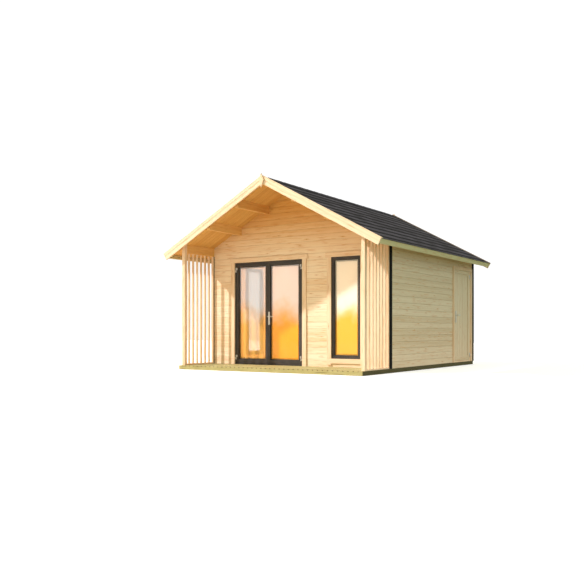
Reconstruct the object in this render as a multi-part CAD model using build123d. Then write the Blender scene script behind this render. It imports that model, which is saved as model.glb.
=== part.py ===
from build123d import *
import os
from math import cos, radians, sin, tan

# A log cabin with a gabled roof that runs out over a front porch, in millimetres.
# X runs to the right along the front, Y to the back and Z up. The origin is on the ground,
# under the middle of the roof.

# Overall sizes of the house
HOUSE_WIDTH = 3880
HOUSE_LENGTH = 5016
DECK_NOSE = 86
PORCH_DEPTH = 907
BASE_HEIGHT = 75

# Walls of stacked logs
SIDE_WALL_HEIGHT = 2256
LOG_HEIGHT = 114
WALL_THICKNESS = 44
GROOVE = 5

# Roof
ROOF_PITCH = 28.3
EAVE_OVERHANG = 352
VERGE_OVERHANG = 124
ROOF_BOARD = 19
ROOF_BOARD_WIDTH = 96
BOARD_GROOVE = 4
COURSE_EXPOSURE = 250
STARTER_EXPOSURE = 125
COURSE_THIN = 4
COURSE_STEP = 3
COVER_OVERHANG = 9
COVER_GAP = 1
CAP_HALF_WIDTH = 120
CAP_THICKNESS = 3
BARGE_THICKNESS = 28
BARGE_DEPTH = 120
LATH_THICKNESS = 10
LATH_WIDTH = 62
LATH_LIP = 4
LATH_SKIRT = 42
BARGE_PAST_FASCIA = 11
FASCIA_THICKNESS = 20
FASCIA_DEPTH = 88
EAVE_BATTEN = 30
PURLIN_WIDTH = 70
PURLIN_DEPTH = 112
PURLIN_FIRST = 602
PURLIN_SPACING = 650
PURLIN_ROWS = 2
PURLIN_SETBACK = 60
RIDGE_PURLIN_DEPTH = 110
FINIAL_WIDTH = 104
FINIAL_HEIGHT = 242
FINIAL_SHOULDER = 112
FINIAL_THICKNESS = 24
FINIAL_RISE = 28
PLUMB_CUT = 2

# Porch
POST = 70
POST_CHAMFER = 5
FINS = 7
FIN_WIDTH = 44
FIN_THICKNESS = 28
FIN_CHAMFER = 3
SOLE_HEIGHT = 25
HEADER_DROP = 51
STRIP_WIDTH = 80
STRIP_THICKNESS = 16

# Base and floor
BEARER_WIDTH = 70
FLOOR_BOARD = 28
JOIST_WIDTH = 45
DECK_LIP = 20
PORCH_JOISTS = 2
ROOM_JOISTS = 8

# Front double door: its place from the left corner, its outer sizes and its leaves
DOOR_FROM_CORNER = 561.5
DOOR_WIDTH = 1563
DOOR_HEIGHT = 1968
FRAME_FACE = 33
THRESHOLD = 26
LEAF_THICKNESS = 56
STILE = 60
BOTTOM_RAIL = 82
LEAF_GAP = 5
LEADING_BEVEL = 3
STOP_DEPTH = 9
STOP_LAP = 7

# Glazing, the same in the leaves and in the windows
BEAD_WIDTH = 12
BEAD_RECESS = 22
GLASS_RECESS = 34
GLASS_THICKNESS = 16

# Tall windows: one in the front wall, one in the left wall
WINDOW_WIDTH = 600
WINDOW_HEIGHT = 1822
WINDOW_SILL = 146
WINDOW_FROM_CORNER = 553
SIDE_WINDOW_FROM_FRONT = 1041
WINDOW_FACE = 71
WINDOW_FRAME = 33
WINDOW_DEPTH = 70
SASH_RECESS = 8

# Boarded door in the right wall
SIDE_DOOR_FROM_REAR = 156
SIDE_DOOR_WIDTH = 980
SIDE_DOOR_HEIGHT = 1962
SIDE_FRAME_FACE = 60
SIDE_LEAF_THICKNESS = 44
SIDE_STILE = 95
SIDE_TOP_RAIL = 80
SIDE_BOTTOM_RAIL = 90
PANEL_RECESS = 10
PANEL_BOARD_WIDTH = 95
PANEL_GROOVE = 4

# Casings round the openings
CASING_WIDTH = 84
CASING_THICKNESS = 20
CASING_LAP = 4
HEAD_OVERHANG = 34
SIDE_CASING_WIDTH = 60
SIDE_HEAD_LAP = 54

# Hinges and handles
HINGE_RADIUS = 8
HINGE_OFFSET = 9
HINGE_HEIGHT = 90
HINGE_INSET = 105
HINGE_PLATE = 3
HINGE_PLATE_WIDTH = 26
HINGE_PLATE_HEIGHT = 38
RUNNING_GAP = 0.3
PLATE_WIDTH = 34
PLATE_HEIGHT = 245
PLATE_ABOVE = 90
PLATE_THICKNESS = 9
PLATE_CORNER = 8
SPINDLE_RADIUS = 6
SPINDLE_CLEARANCE = 1
LEVER_LENGTH = 125
LEVER_RADIUS = 9
LEVER_STANDOFF = 42
FRONT_LEVER_HEIGHT = 915
SIDE_LEVER_HEIGHT = 970

# Plan lines that follow from the sizes above
HALF_WIDTH = HOUSE_WIDTH / 2
SIDE_INSIDE = HALF_WIDTH - WALL_THICKNESS
POST_FRONT = -HOUSE_LENGTH / 2
BASE_FRONT = POST_FRONT - DECK_NOSE
FRONT_FACE = POST_FRONT + PORCH_DEPTH
FRONT_INSIDE = FRONT_FACE + WALL_THICKNESS
REAR_FACE = HOUSE_LENGTH / 2
REAR_INSIDE = REAR_FACE - WALL_THICKNESS
VERGE = HOUSE_LENGTH / 2 + VERGE_OVERHANG
BARGE_INSIDE = VERGE - BARGE_THICKNESS

# The roof: heights square to the slope count from the underside of the boards
SLOPE = tan(radians(ROOF_PITCH))
LEAN = cos(radians(ROOF_PITCH))
SINE = sin(radians(ROOF_PITCH))
SOFFIT = BASE_HEIGHT + SIDE_WALL_HEIGHT + HALF_WIDTH * SLOPE
LATH_UNDER = ROOF_BOARD + COURSE_THIN + COURSE_STEP + COVER_GAP
LATH_TOP = LATH_UNDER + LATH_THICKNESS
RIDGE_TOP = SOFFIT + LATH_TOP / LEAN
EAVE_END = (HALF_WIDTH + EAVE_OVERHANG - LATH_TOP * SINE) / LEAN
BOARD_END = EAVE_END - BARGE_PAST_FASCIA - FASCIA_THICKNESS

# The walls: the last whole log line under the roof, and a height that passes every wall's top
EAVE_LINE = BASE_HEIGHT + int(SIDE_WALL_HEIGHT / LOG_HEIGHT) * LOG_HEIGHT
WALL_REACH = BASE_HEIGHT + SIDE_WALL_HEIGHT + LOG_HEIGHT
HEADER_BOTTOM = EAVE_LINE - HEADER_DROP

# The openings
DOOR_LEFT = -HALF_WIDTH + DOOR_FROM_CORNER
DOOR_RIGHT = DOOR_LEFT + DOOR_WIDTH
DOOR_CENTRE = (DOOR_LEFT + DOOR_RIGHT) / 2
DOOR_TOP = BASE_HEIGHT + DOOR_HEIGHT
WINDOW_RIGHT = HALF_WIDTH - WINDOW_FROM_CORNER
WINDOW_LEFT = WINDOW_RIGHT - WINDOW_WIDTH
WINDOW_BOTTOM = BASE_HEIGHT + WINDOW_SILL
WINDOW_TOP = WINDOW_BOTTOM + WINDOW_HEIGHT
SIDE_WINDOW_FRONT = FRONT_FACE + SIDE_WINDOW_FROM_FRONT
SIDE_WINDOW_REAR = SIDE_WINDOW_FRONT + WINDOW_WIDTH
SIDE_DOOR_REAR = REAR_FACE - SIDE_DOOR_FROM_REAR
SIDE_DOOR_FRONT = SIDE_DOOR_REAR - SIDE_DOOR_WIDTH
SIDE_DOOR_TOP = BASE_HEIGHT + SIDE_DOOR_HEIGHT
CASING_REACH = CASING_WIDTH - CASING_LAP

os.makedirs("parts", exist_ok=True)
nodes = {}


def block(low, high):
    """A box between two corners."""
    sizes = [b - a for a, b in zip(low, high)]
    middle = [(a + b) / 2 for a, b in zip(low, high)]
    return Pos(*middle) * Box(*sizes)


def planed(low, high, edge):
    """An upright timber between two corners, with a small chamfer on its four long edges."""
    timber = block(low, high)
    return chamfer(timber.edges().filter_by(Axis.Z), edge)


def across_house(outline, y_low, y_high):
    """An outline in (X, Z) run along the house from y_low to y_high."""
    face = make_face(Polyline(*[(x, y_low, z) for x, z in outline], close=True))
    return extrude(face, amount=y_high - y_low, dir=(0, 1, 0))


def along_front(outline, x_low, x_high):
    """An outline in (Y, Z) run along the front from x_low to x_high."""
    face = make_face(Polyline(*[(x_low, y, z) for y, z in outline], close=True))
    return extrude(face, amount=x_high - x_low, dir=(1, 0, 0))


def upright(outline, z_low, z_high):
    """An outline in (X, Y) raised from z_low to z_high."""
    face = make_face(Polyline(*[(x, y, z_low) for x, y in outline], close=True))
    return extrude(face, amount=z_high - z_low, dir=(0, 0, 1))


def mirrored(shape):
    """The same piece on the other side of the house."""
    return mirror(shape, Plane.YZ)


def fused(pieces):
    """Pieces that touch, joined into one."""
    whole = pieces[0]
    for piece in pieces[1:]:
        whole = whole + piece
    return whole


def grooved_line(start, stop, pitch, depth, offset=0):
    """Points (place, depth) along a face with a V groove at every pitch from offset."""
    points = [(start, 0)]
    first = int((start - offset) // pitch) + 1
    last = int((stop - offset) // pitch) + 1
    for n in range(first, last):
        place = offset + n * pitch
        if start + depth < place < stop - depth:
            points += [(place - depth, 0), (place, depth), (place + depth, 0)]
    return points + [(stop, 0)]


def log_outline(outer, inner, z_low, z_high):
    """Stacked logs in section: a V groove at each log line, on both faces."""
    inward = 1 if inner > outer else -1
    line = grooved_line(z_low, z_high, LOG_HEIGHT, GROOVE, BASE_HEIGHT)
    outside = [(outer + inward * cut, z) for z, cut in line]
    inside = [(inner - inward * cut, z) for z, cut in line]
    return outside + inside[::-1]


def front_logs(x_low, x_high, z_low, z_high, outer=FRONT_FACE, inner=FRONT_INSIDE):
    """A panel of logs that lies along the front or the rear wall."""
    return along_front(log_outline(outer, inner, z_low, z_high), x_low, x_high)


def side_logs(y_low, y_high, z_low, z_high, side=1):
    """A panel of logs that lies along a side wall, cut to the slope of the roof."""
    outline = log_outline(side * HALF_WIDTH, side * SIDE_INSIDE, z_low, z_high)
    return across_house(outline, y_low, y_high) & under_roof


def slope_point(down, out):
    """A point (X, Z) on the right slope: down it from the ridge, and out square from the soffit."""
    return (down * LEAN + out * SINE, SOFFIT - down * SINE + out * LEAN)


def ridge_point(out):
    """Where a layer of the right slope meets the upright cut at the ridge."""
    kerf = PLUMB_CUT / 2
    return (kerf, SOFFIT - kerf * SLOPE + out / LEAN)


def slope_board(down_end, out_low, out_high, y_low, y_high):
    """A board that runs down the right slope from the ridge, its lower end cut square."""
    outline = [
        ridge_point(out_low),
        slope_point(down_end, out_low),
        slope_point(down_end, out_high),
        ridge_point(out_high),
    ]
    return across_house(outline, y_low, y_high)


# The space under the roof boards, which cuts the wall tops to the slope
roof_reach = HALF_WIDTH + EAVE_OVERHANG
under_roof = across_house(
    [
        (-roof_reach, 0),
        (roof_reach, 0),
        (roof_reach, SOFFIT - roof_reach * SLOPE),
        (0, SOFFIT),
        (-roof_reach, SOFFIT - roof_reach * SLOPE),
    ],
    -VERGE,
    VERGE,
)


# Base: bearers round the edge and under the front wall, with joists between them
def make_base():
    joist_top = BASE_HEIGHT - FLOOR_BOARD
    between = HALF_WIDTH - BEARER_WIDTH
    room_front = FRONT_FACE + BEARER_WIDTH
    room_back = REAR_FACE - BEARER_WIDTH
    side = block((between, BASE_FRONT, 0), (HALF_WIDTH, REAR_FACE, BASE_HEIGHT))
    nodes["base_side_bearers"] = Compound([side, mirrored(side)])
    # The front bearer has a rebate, so that its lip hides the ends of the deck boards.
    lip_back = BASE_FRONT + DECK_LIP
    joist_back = BASE_FRONT + JOIST_WIDTH
    rebated = [
        (BASE_FRONT, 0),
        (joist_back, 0),
        (joist_back, joist_top),
        (lip_back, joist_top),
        (lip_back, BASE_HEIGHT),
        (BASE_FRONT, BASE_HEIGHT),
    ]
    cross = [
        along_front(rebated, -between, between),
        block((-between, FRONT_FACE, 0), (between, room_front, BASE_HEIGHT)),
        block((-between, room_back, 0), (between, REAR_FACE, BASE_HEIGHT)),
    ]
    spans = ((joist_back, FRONT_FACE, PORCH_JOISTS), (room_front, room_back, ROOM_JOISTS))
    for low, high, count in spans:
        step = (high - low) / (count + 1)
        for n in range(1, count + 1):
            y = low + n * step - JOIST_WIDTH / 2
            cross.append(block((-between, y, 0), (between, y + JOIST_WIDTH, joist_top)))
    nodes["base_cross_bearers"] = Compound(cross)
    nodes["porch_deck"] = block((-between, lip_back, joist_top), (between, FRONT_FACE, BASE_HEIGHT))
    nodes["floor"] = block((-between, room_front, joist_top), (between, room_back, BASE_HEIGHT))


# Walls: log panels beside, under and over each opening
def make_front_wall():
    beside = ((-HALF_WIDTH, DOOR_LEFT), (DOOR_RIGHT, WINDOW_LEFT), (WINDOW_RIGHT, HALF_WIDTH))
    nodes["front_wall"] = Compound(
        [front_logs(x_low, x_high, BASE_HEIGHT, EAVE_LINE) for x_low, x_high in beside]
    )
    nodes["front_wall_infill"] = Compound(
        [
            front_logs(DOOR_LEFT, DOOR_RIGHT, DOOR_TOP, EAVE_LINE),
            front_logs(WINDOW_LEFT, WINDOW_RIGHT, WINDOW_TOP, EAVE_LINE),
            front_logs(WINDOW_LEFT, WINDOW_RIGHT, BASE_HEIGHT, WINDOW_BOTTOM),
        ]
    )


def make_rear_wall():
    nodes["rear_wall"] = front_logs(
        -HALF_WIDTH, HALF_WIDTH, BASE_HEIGHT, EAVE_LINE, REAR_FACE, REAR_INSIDE
    )


def make_gables(purlins):
    faces = {"front_gable": (FRONT_FACE, FRONT_INSIDE), "rear_gable": (REAR_FACE, REAR_INSIDE)}
    for name, (outer, inner) in faces.items():
        gable = front_logs(-HALF_WIDTH, HALF_WIDTH, EAVE_LINE, SOFFIT, outer, inner) & under_roof
        for purlin in purlins:
            gable = gable - purlin
        nodes[name] = gable


def make_side_walls():
    nodes["right_wall"] = Compound(
        [
            side_logs(FRONT_INSIDE, SIDE_DOOR_FRONT, BASE_HEIGHT, WALL_REACH),
            side_logs(SIDE_DOOR_REAR, REAR_INSIDE, BASE_HEIGHT, WALL_REACH),
        ]
    )
    nodes["right_wall_infill"] = side_logs(SIDE_DOOR_FRONT, SIDE_DOOR_REAR, SIDE_DOOR_TOP, WALL_REACH)
    nodes["left_wall"] = Compound(
        [
            side_logs(FRONT_INSIDE, SIDE_WINDOW_FRONT, BASE_HEIGHT, WALL_REACH, -1),
            side_logs(SIDE_WINDOW_REAR, REAR_INSIDE, BASE_HEIGHT, WALL_REACH, -1),
        ]
    )
    nodes["left_wall_infill"] = Compound(
        [
            side_logs(SIDE_WINDOW_FRONT, SIDE_WINDOW_REAR, WINDOW_TOP, WALL_REACH, -1),
            side_logs(SIDE_WINDOW_FRONT, SIDE_WINDOW_REAR, BASE_HEIGHT, WINDOW_BOTTOM, -1),
        ]
    )


# Roof: purlins, boards, covering, bargeboards and their laths
def make_purlins():
    front = -VERGE + PURLIN_SETBACK
    rear = VERGE - PURLIN_SETBACK
    half = PURLIN_WIDTH / 2
    ridge = block((-half, front, SOFFIT - RIDGE_PURLIN_DEPTH), (half, rear, SOFFIT))
    rows = [ridge & under_roof]
    for n in range(PURLIN_ROWS):
        middle = PURLIN_FIRST + n * PURLIN_SPACING
        upper_edge = SOFFIT - (middle - half) * SLOPE
        bottom = SOFFIT - (middle + half) * SLOPE - PURLIN_DEPTH
        plank = block((middle - half, front, bottom), (middle + half, rear, upper_edge)) & under_roof
        rows += [plank, mirrored(plank)]
    nodes["purlins"] = Compound(rows)
    return rows


def roof_boards():
    """The boards of the right slope run down it, with a V groove at each joint underneath."""
    count = round(2 * BARGE_INSIDE / ROOF_BOARD_WIDTH)
    width = 2 * BARGE_INSIDE / count
    soffit = grooved_line(-BARGE_INSIDE, BARGE_INSIDE, width, BOARD_GROOVE, -BARGE_INSIDE)
    outline = soffit + [(BARGE_INSIDE, ROOF_BOARD), (-BARGE_INSIDE, ROOF_BOARD)]
    above_ridge = ROOF_BOARD
    start = slope_point(-above_ridge, 0)
    down_slope = Plane(origin=(start[0], 0, start[1]), x_dir=(0, 1, 0), z_dir=(LEAN, 0, -SINE))
    section = down_slope * make_face(Polyline(*outline, close=True))
    boards = extrude(section, amount=above_ridge + BOARD_END, dir=(LEAN, 0, -SINE))
    right_of_ridge = block(
        (PLUMB_CUT / 2, -BARGE_INSIDE, BASE_HEIGHT),
        (roof_reach, BARGE_INSIDE, RIDGE_TOP),
    )
    return boards & right_of_ridge


def covering_outline():
    """The covering in section: courses that lap like scales, each with a step at its lower edge."""
    thick = COURSE_THIN + COURSE_STEP
    edge = BOARD_END + FASCIA_THICKNESS + COVER_OVERHANG
    points = [ridge_point(ROOF_BOARD), slope_point(edge, ROOF_BOARD)]
    lower_edge = edge
    upper_edge = edge - STARTER_EXPOSURE
    while upper_edge > COURSE_EXPOSURE / 2:
        points.append(slope_point(lower_edge, ROOF_BOARD + thick))
        points.append(slope_point(upper_edge, ROOF_BOARD + COURSE_THIN))
        lower_edge = upper_edge
        upper_edge = lower_edge - COURSE_EXPOSURE
    points.append(slope_point(lower_edge, ROOF_BOARD + thick))
    points.append(ridge_point(ROOF_BOARD + COURSE_THIN))
    return points


def make_roof():
    boards = roof_boards()
    nodes["roof_boards_right"] = boards
    nodes["roof_boards_left"] = mirrored(boards)
    covering = across_house(covering_outline(), -BARGE_INSIDE, BARGE_INSIDE)
    nodes["roof_covering_right"] = covering
    nodes["roof_covering_left"] = mirrored(covering)
    cap_under = ROOF_BOARD + COURSE_THIN + COURSE_STEP
    cap_end = BARGE_INSIDE - (LATH_WIDTH - LATH_LIP - BARGE_THICKNESS)
    layers = [slope_point(CAP_HALF_WIDTH / LEAN, cap_under + rise) for rise in (0, CAP_THICKNESS)]
    top = [(0, SOFFIT + (cap_under + rise) / LEAN) for rise in (0, CAP_THICKNESS)]
    outline = [top[0], layers[0], layers[1], top[1]]
    outline += [(-x, z) for x, z in (layers[1], layers[0])]
    nodes["ridge_cap"] = across_house(outline, -cap_end, cap_end)


def make_eaves():
    # The fascia lies square to the slope, on the cut ends of the roof boards, with a batten behind it.
    fascia = [
        slope_point(BOARD_END, ROOF_BOARD),
        slope_point(BOARD_END + FASCIA_THICKNESS, ROOF_BOARD),
        slope_point(BOARD_END + FASCIA_THICKNESS, ROOF_BOARD - FASCIA_DEPTH),
        slope_point(BOARD_END, ROOF_BOARD - FASCIA_DEPTH),
        slope_point(BOARD_END, -EAVE_BATTEN),
        slope_point(BOARD_END - EAVE_BATTEN, -EAVE_BATTEN),
        slope_point(BOARD_END - EAVE_BATTEN, 0),
        slope_point(BOARD_END, 0),
    ]
    right = across_house(fascia, -BARGE_INSIDE, BARGE_INSIDE)
    nodes["fascias"] = Compound([right, mirrored(right)])


def make_verges():
    half = FINIAL_WIDTH / 2
    tip = RIDGE_TOP + FINIAL_RISE
    diamond = [
        (0, tip),
        (half, tip - FINIAL_SHOULDER),
        (0, tip - FINIAL_HEIGHT),
        (-half, tip - FINIAL_SHOULDER),
    ]
    laths = []
    finials = []
    for end, sign in (("front", -1), ("rear", 1)):
        outside = sign * VERGE
        lip = sign * (VERGE + LATH_LIP)
        behind = lip - sign * LATH_WIDTH
        y_faces = sorted((outside, sign * BARGE_INSIDE))
        board = slope_board(EAVE_END, LATH_UNDER - BARGE_DEPTH, LATH_UNDER, *y_faces)
        nodes[end + "_barges"] = Compound([board, mirrored(board)])
        lath = slope_board(EAVE_END, LATH_UNDER, LATH_TOP, *sorted((behind, lip)))
        skirt = slope_board(EAVE_END, LATH_UNDER - LATH_SKIRT, LATH_UNDER, *sorted((outside, lip)))
        lath = lath + skirt
        laths += [lath, mirrored(lath)]
        front_of_finial = lip + sign * FINIAL_THICKNESS
        finials.append(across_house(diamond, *sorted((lip, front_of_finial))))
    nodes["verge_laths"] = Compound(laths)
    nodes["finials"] = Compound(finials)


# Porch: posts, headers, and two screens of fins on a sole
def make_porch():
    screen_front = POST_FRONT + POST
    screen_back = FRONT_FACE - STRIP_THICKNESS
    gap = (screen_back - screen_front - FINS * FIN_THICKNESS) / FINS
    sole_top = BASE_HEIGHT + SOLE_HEIGHT
    post_foot = (HALF_WIDTH - POST, POST_FRONT, BASE_HEIGHT)
    post = planed(post_foot, (HALF_WIDTH, screen_front, WALL_REACH), POST_CHAMFER) & under_roof
    header_outline = log_outline(HALF_WIDTH, SIDE_INSIDE, HEADER_BOTTOM, WALL_REACH)
    header = across_house(header_outline, screen_front, FRONT_FACE) & under_roof
    inner = HALF_WIDTH - FIN_WIDTH
    screen = [block((inner, screen_front, BASE_HEIGHT), (HALF_WIDTH, screen_back, sole_top))]
    for n in range(FINS):
        y = screen_front + gap + n * (FIN_THICKNESS + gap)
        fin_top = (HALF_WIDTH, y + FIN_THICKNESS, HEADER_BOTTOM)
        screen.append(planed((inner, y, sole_top), fin_top, FIN_CHAMFER))
    nodes["porch_posts"] = Compound([post, mirrored(post)])
    nodes["porch_headers"] = Compound([header, mirrored(header)])
    nodes["right_screen"] = fused(screen)
    nodes["left_screen"] = mirrored(nodes["right_screen"])


# Corner strips: two boards at each corner, one on each face. In the porch the end board is as
# wide as the screen in front of it.
def make_corner_strips():
    face = HALF_WIDTH + STRIP_THICKNESS
    roof_over_strip = SOFFIT - face * SLOPE
    corners = (
        (-1, FRONT_FACE, HALF_WIDTH - FIN_WIDTH, HEADER_BOTTOM),
        (1, REAR_FACE, face - STRIP_WIDTH, roof_over_strip),
    )
    strips = []
    for sign, y_face, end_inside, end_top in corners:
        y_out = y_face + sign * STRIP_THICKNESS
        low, high = sorted((y_out, y_out - sign * STRIP_WIDTH))
        side_strip = block((HALF_WIDTH, low, BASE_HEIGHT), (face, high, roof_over_strip))
        low, high = sorted((y_face, y_out))
        end_strip = block((end_inside, low, BASE_HEIGHT), (HALF_WIDTH, high, end_top))
        corner = side_strip + end_strip
        strips += [corner, mirrored(corner)]
    nodes["corner_strips"] = Compound(strips)


# Joinery. Frames, leaves and windows are drawn in the plane of the front wall, outer face at y_out.
def ring(low, high, y_low, y_high, face, bottom):
    """Four bars round an opening, from (x, z) low to (x, z) high."""
    outer = block((low[0], y_low, low[1]), (high[0], y_high, high[1]))
    hole = block((low[0] + face, y_low, low[1] + bottom), (high[0] - face, y_high, high[1] - face))
    return outer - hole


def inset(low, high, sides, bottom):
    """The two corners of a ring's opening."""
    return (low[0] + sides, low[1] + bottom), (high[0] - sides, high[1] - sides)


def door_frame(low, high, y_out, face, leaf_thickness):
    """A frame with a stop all round, which the leaves close against."""
    stop_front = y_out + leaf_thickness + LEAF_GAP
    frame_back = stop_front + STOP_DEPTH
    frame = ring(low, high, y_out, frame_back, face, THRESHOLD)
    stop_low, stop_high = inset(low, high, face, THRESHOLD)
    lap = LEAF_GAP + STOP_LAP
    return frame + ring(stop_low, stop_high, stop_front, frame_back, lap, lap)


def leaf_slab(hinge_x, closing_x, y_out, thickness, z_low, z_high):
    """A leaf before it is cut out. Its closing edge is bevelled, so that it swings past the other."""
    back_x = closing_x + (LEADING_BEVEL if hinge_x > closing_x else -LEADING_BEVEL)
    plan = [
        (hinge_x, y_out),
        (closing_x, y_out),
        (back_x, y_out + thickness),
        (hinge_x, y_out + thickness),
    ]
    return upright(plan, z_low, z_high)


def glazed(low, high, y_out, y_back, sides, bottom):
    """Glazing beads and the pane that they hold, inside bars that are sides and bottom wide."""
    bead_low, bead_high = inset(low, high, sides - BEAD_WIDTH, bottom - BEAD_WIDTH)
    pane_low, pane_high = inset(low, high, sides, bottom)
    beads = ring(bead_low, bead_high, y_out + BEAD_RECESS, y_back, BEAD_WIDTH, BEAD_WIDTH)
    pane_front = y_out + GLASS_RECESS
    pane = block(
        (pane_low[0], pane_front, pane_low[1]),
        (pane_high[0], pane_front + GLASS_THICKNESS, pane_high[1]),
    )
    return beads, pane


def handle_plates(x, z, y_out, y_in):
    """A long plate with rounded corners on each face of a door."""
    plates = []
    middle = z + PLATE_ABOVE - PLATE_HEIGHT / 2
    for face, away in ((y_out, -1), (y_in, 1)):
        outline = Plane.XZ * RectangleRounded(PLATE_WIDTH, PLATE_HEIGHT, PLATE_CORNER)
        plate = extrude(outline, amount=PLATE_THICKNESS, dir=(0, away, 0))
        plates.append(Pos(x, face, middle) * plate)
    return plates


def spindle_hole(x, z, y_out, y_in):
    """The hole for a spindle through a leaf and both its plates."""
    length = y_in - y_out + 2 * LEVER_STANDOFF
    bar = Cylinder(SPINDLE_RADIUS + SPINDLE_CLEARANCE, length, rotation=(90, 0, 0))
    return Pos(x, (y_out + y_in) / 2, z) * bar


def round_bar(points, radius):
    """A round bar along straight runs that meet in mitres."""
    path = Polyline(*points)
    start = Vector(*points[0])
    heading = Vector(*points[1]) - start
    section = Plane(origin=start, z_dir=heading) * Circle(radius)
    return sweep(section, path=path, transition=Transition.RIGHT)


def lever_pair(x, z, y_out, y_in):
    """A lever on each side of a door, on one spindle. Both point to the right."""
    out_seat = y_out - PLATE_THICKNESS - RUNNING_GAP
    in_seat = y_in + PLATE_THICKNESS + RUNNING_GAP
    tip = x + LEVER_LENGTH
    solid = round_bar([(x, out_seat, z), (x, in_seat, z)], SPINDLE_RADIUS)
    for seat, away in ((out_seat, -1), (in_seat, 1)):
        grip = seat + away * LEVER_STANDOFF
        solid = solid + round_bar([(x, seat, z), (x, grip, z), (tip, grip, z)], LEVER_RADIUS)
    return solid


def knuckle(x, y_out, z, way, half):
    """Half of a hinge: a knuckle above (half 1) or below (half -1) its middle, with its plate."""
    z_near = z + half * RUNNING_GAP / 2
    z_far = z + half * HINGE_HEIGHT / 2
    middle = (z_near + z_far) / 2
    barrel = Pos(x, y_out - HINGE_OFFSET, middle) * Cylinder(HINGE_RADIUS, abs(z_far - z_near))
    x_low, x_high = sorted((x, x + way * HINGE_PLATE_WIDTH))
    plate_low = middle - HINGE_PLATE_HEIGHT / 2
    plate_high = middle + HINGE_PLATE_HEIGHT / 2
    return barrel + block((x_low, y_out - HINGE_PLATE, plate_low), (x_high, y_out, plate_high))


def make_front_door():
    y_out = FRONT_FACE
    y_in = y_out + LEAF_THICKNESS
    low = (DOOR_LEFT, BASE_HEIGHT)
    high = (DOOR_RIGHT, DOOR_TOP)
    nodes["door_frame"] = door_frame(low, high, y_out, FRAME_FACE, LEAF_THICKNESS)
    z_low = BASE_HEIGHT + THRESHOLD + LEAF_GAP
    z_high = DOOR_TOP - FRAME_FACE - LEAF_GAP
    lever_z = BASE_HEIGHT + FRONT_LEVER_HEIGHT
    lever_x = DOOR_CENTRE + LEAF_GAP / 2 + STILE / 2
    hole = spindle_hole(lever_x, lever_z, y_out, y_in)
    hinges = []
    for side, way in (("left", 1), ("right", -1)):
        axis_x = DOOR_CENTRE - way * (DOOR_WIDTH / 2 - FRAME_FACE)
        hinge_x = axis_x + way * LEAF_GAP
        closing_x = DOOR_CENTRE - way * LEAF_GAP / 2
        corner_low = (min(hinge_x, closing_x), z_low)
        corner_high = (max(hinge_x, closing_x), z_high)
        open_low, open_high = inset(corner_low, corner_high, STILE - BEAD_WIDTH, BOTTOM_RAIL - BEAD_WIDTH)
        opening = block((open_low[0], y_out, open_low[1]), (open_high[0], y_in, open_high[1]))
        beads, pane = glazed(corner_low, corner_high, y_out, y_in, STILE, BOTTOM_RAIL)
        slab = leaf_slab(hinge_x, closing_x, y_out, LEAF_THICKNESS, z_low, z_high)
        leaf = slab - opening + beads
        fittings = []
        for z in (z_low + HINGE_INSET, z_high - HINGE_INSET):
            hinges.append(knuckle(axis_x, y_out, z, -way, -1))
            fittings.append(knuckle(axis_x, y_out, z, way, 1))
        if side == "right":
            leaf = leaf - hole
            fittings += [plate - hole for plate in handle_plates(lever_x, lever_z, y_out, y_in)]
        nodes[side + "_leaf"] = leaf
        nodes[side + "_leaf_glass"] = pane
        nodes[side + "_leaf_fittings"] = Compound(fittings)
    nodes["door_levers"] = lever_pair(lever_x, lever_z, y_out, y_in)
    nodes["door_hinges"] = Compound(hinges)


def side_window_turn():
    """Takes a window from the front wall's opening to the left wall's."""
    middle_x = (WINDOW_LEFT + WINDOW_RIGHT) / 2
    middle_y = (SIDE_WINDOW_FRONT + SIDE_WINDOW_REAR) / 2
    return Pos(-HALF_WIDTH, middle_y, 0) * Rot(0, 0, -90) * Pos(-middle_x, -FRONT_FACE, 0)


def make_windows():
    y_out = FRONT_FACE
    low = (WINDOW_LEFT, WINDOW_BOTTOM)
    high = (WINDOW_RIGHT, WINDOW_TOP)
    sash_low, sash_high = inset(low, high, WINDOW_FRAME, WINDOW_FRAME)
    sash_face = WINDOW_FACE - WINDOW_FRAME - BEAD_WIDTH
    sash_back = y_out + WINDOW_DEPTH
    frame = ring(low, high, y_out, sash_back, WINDOW_FRAME, WINDOW_FRAME)
    sash = ring(sash_low, sash_high, y_out + SASH_RECESS, sash_back, sash_face, sash_face)
    beads, pane = glazed(low, high, y_out, sash_back, WINDOW_FACE, WINDOW_FACE)
    window = frame + sash + beads
    turn = side_window_turn()
    nodes["window_frames"] = Compound([window, turn * window])
    nodes["window_glass"] = Compound([pane, turn * pane])


def boarded_panel(x_low, x_high, y_front, y_back, z_low, z_high):
    """Upright boards with a V groove at each joint, on both faces."""
    line = grooved_line(x_low, x_high, PANEL_BOARD_WIDTH, PANEL_GROOVE, x_low)
    front = [(x, y_front + cut) for x, cut in line]
    back = [(x, y_back - cut) for x, cut in line]
    return upright(front + back[::-1], z_low, z_high)


def side_door_turn():
    """Takes the side door from the plane y = 0 to its opening in the right wall."""
    return Pos(HALF_WIDTH, SIDE_DOOR_FRONT + SIDE_DOOR_WIDTH / 2, 0) * Rot(0, 0, 90)


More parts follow.
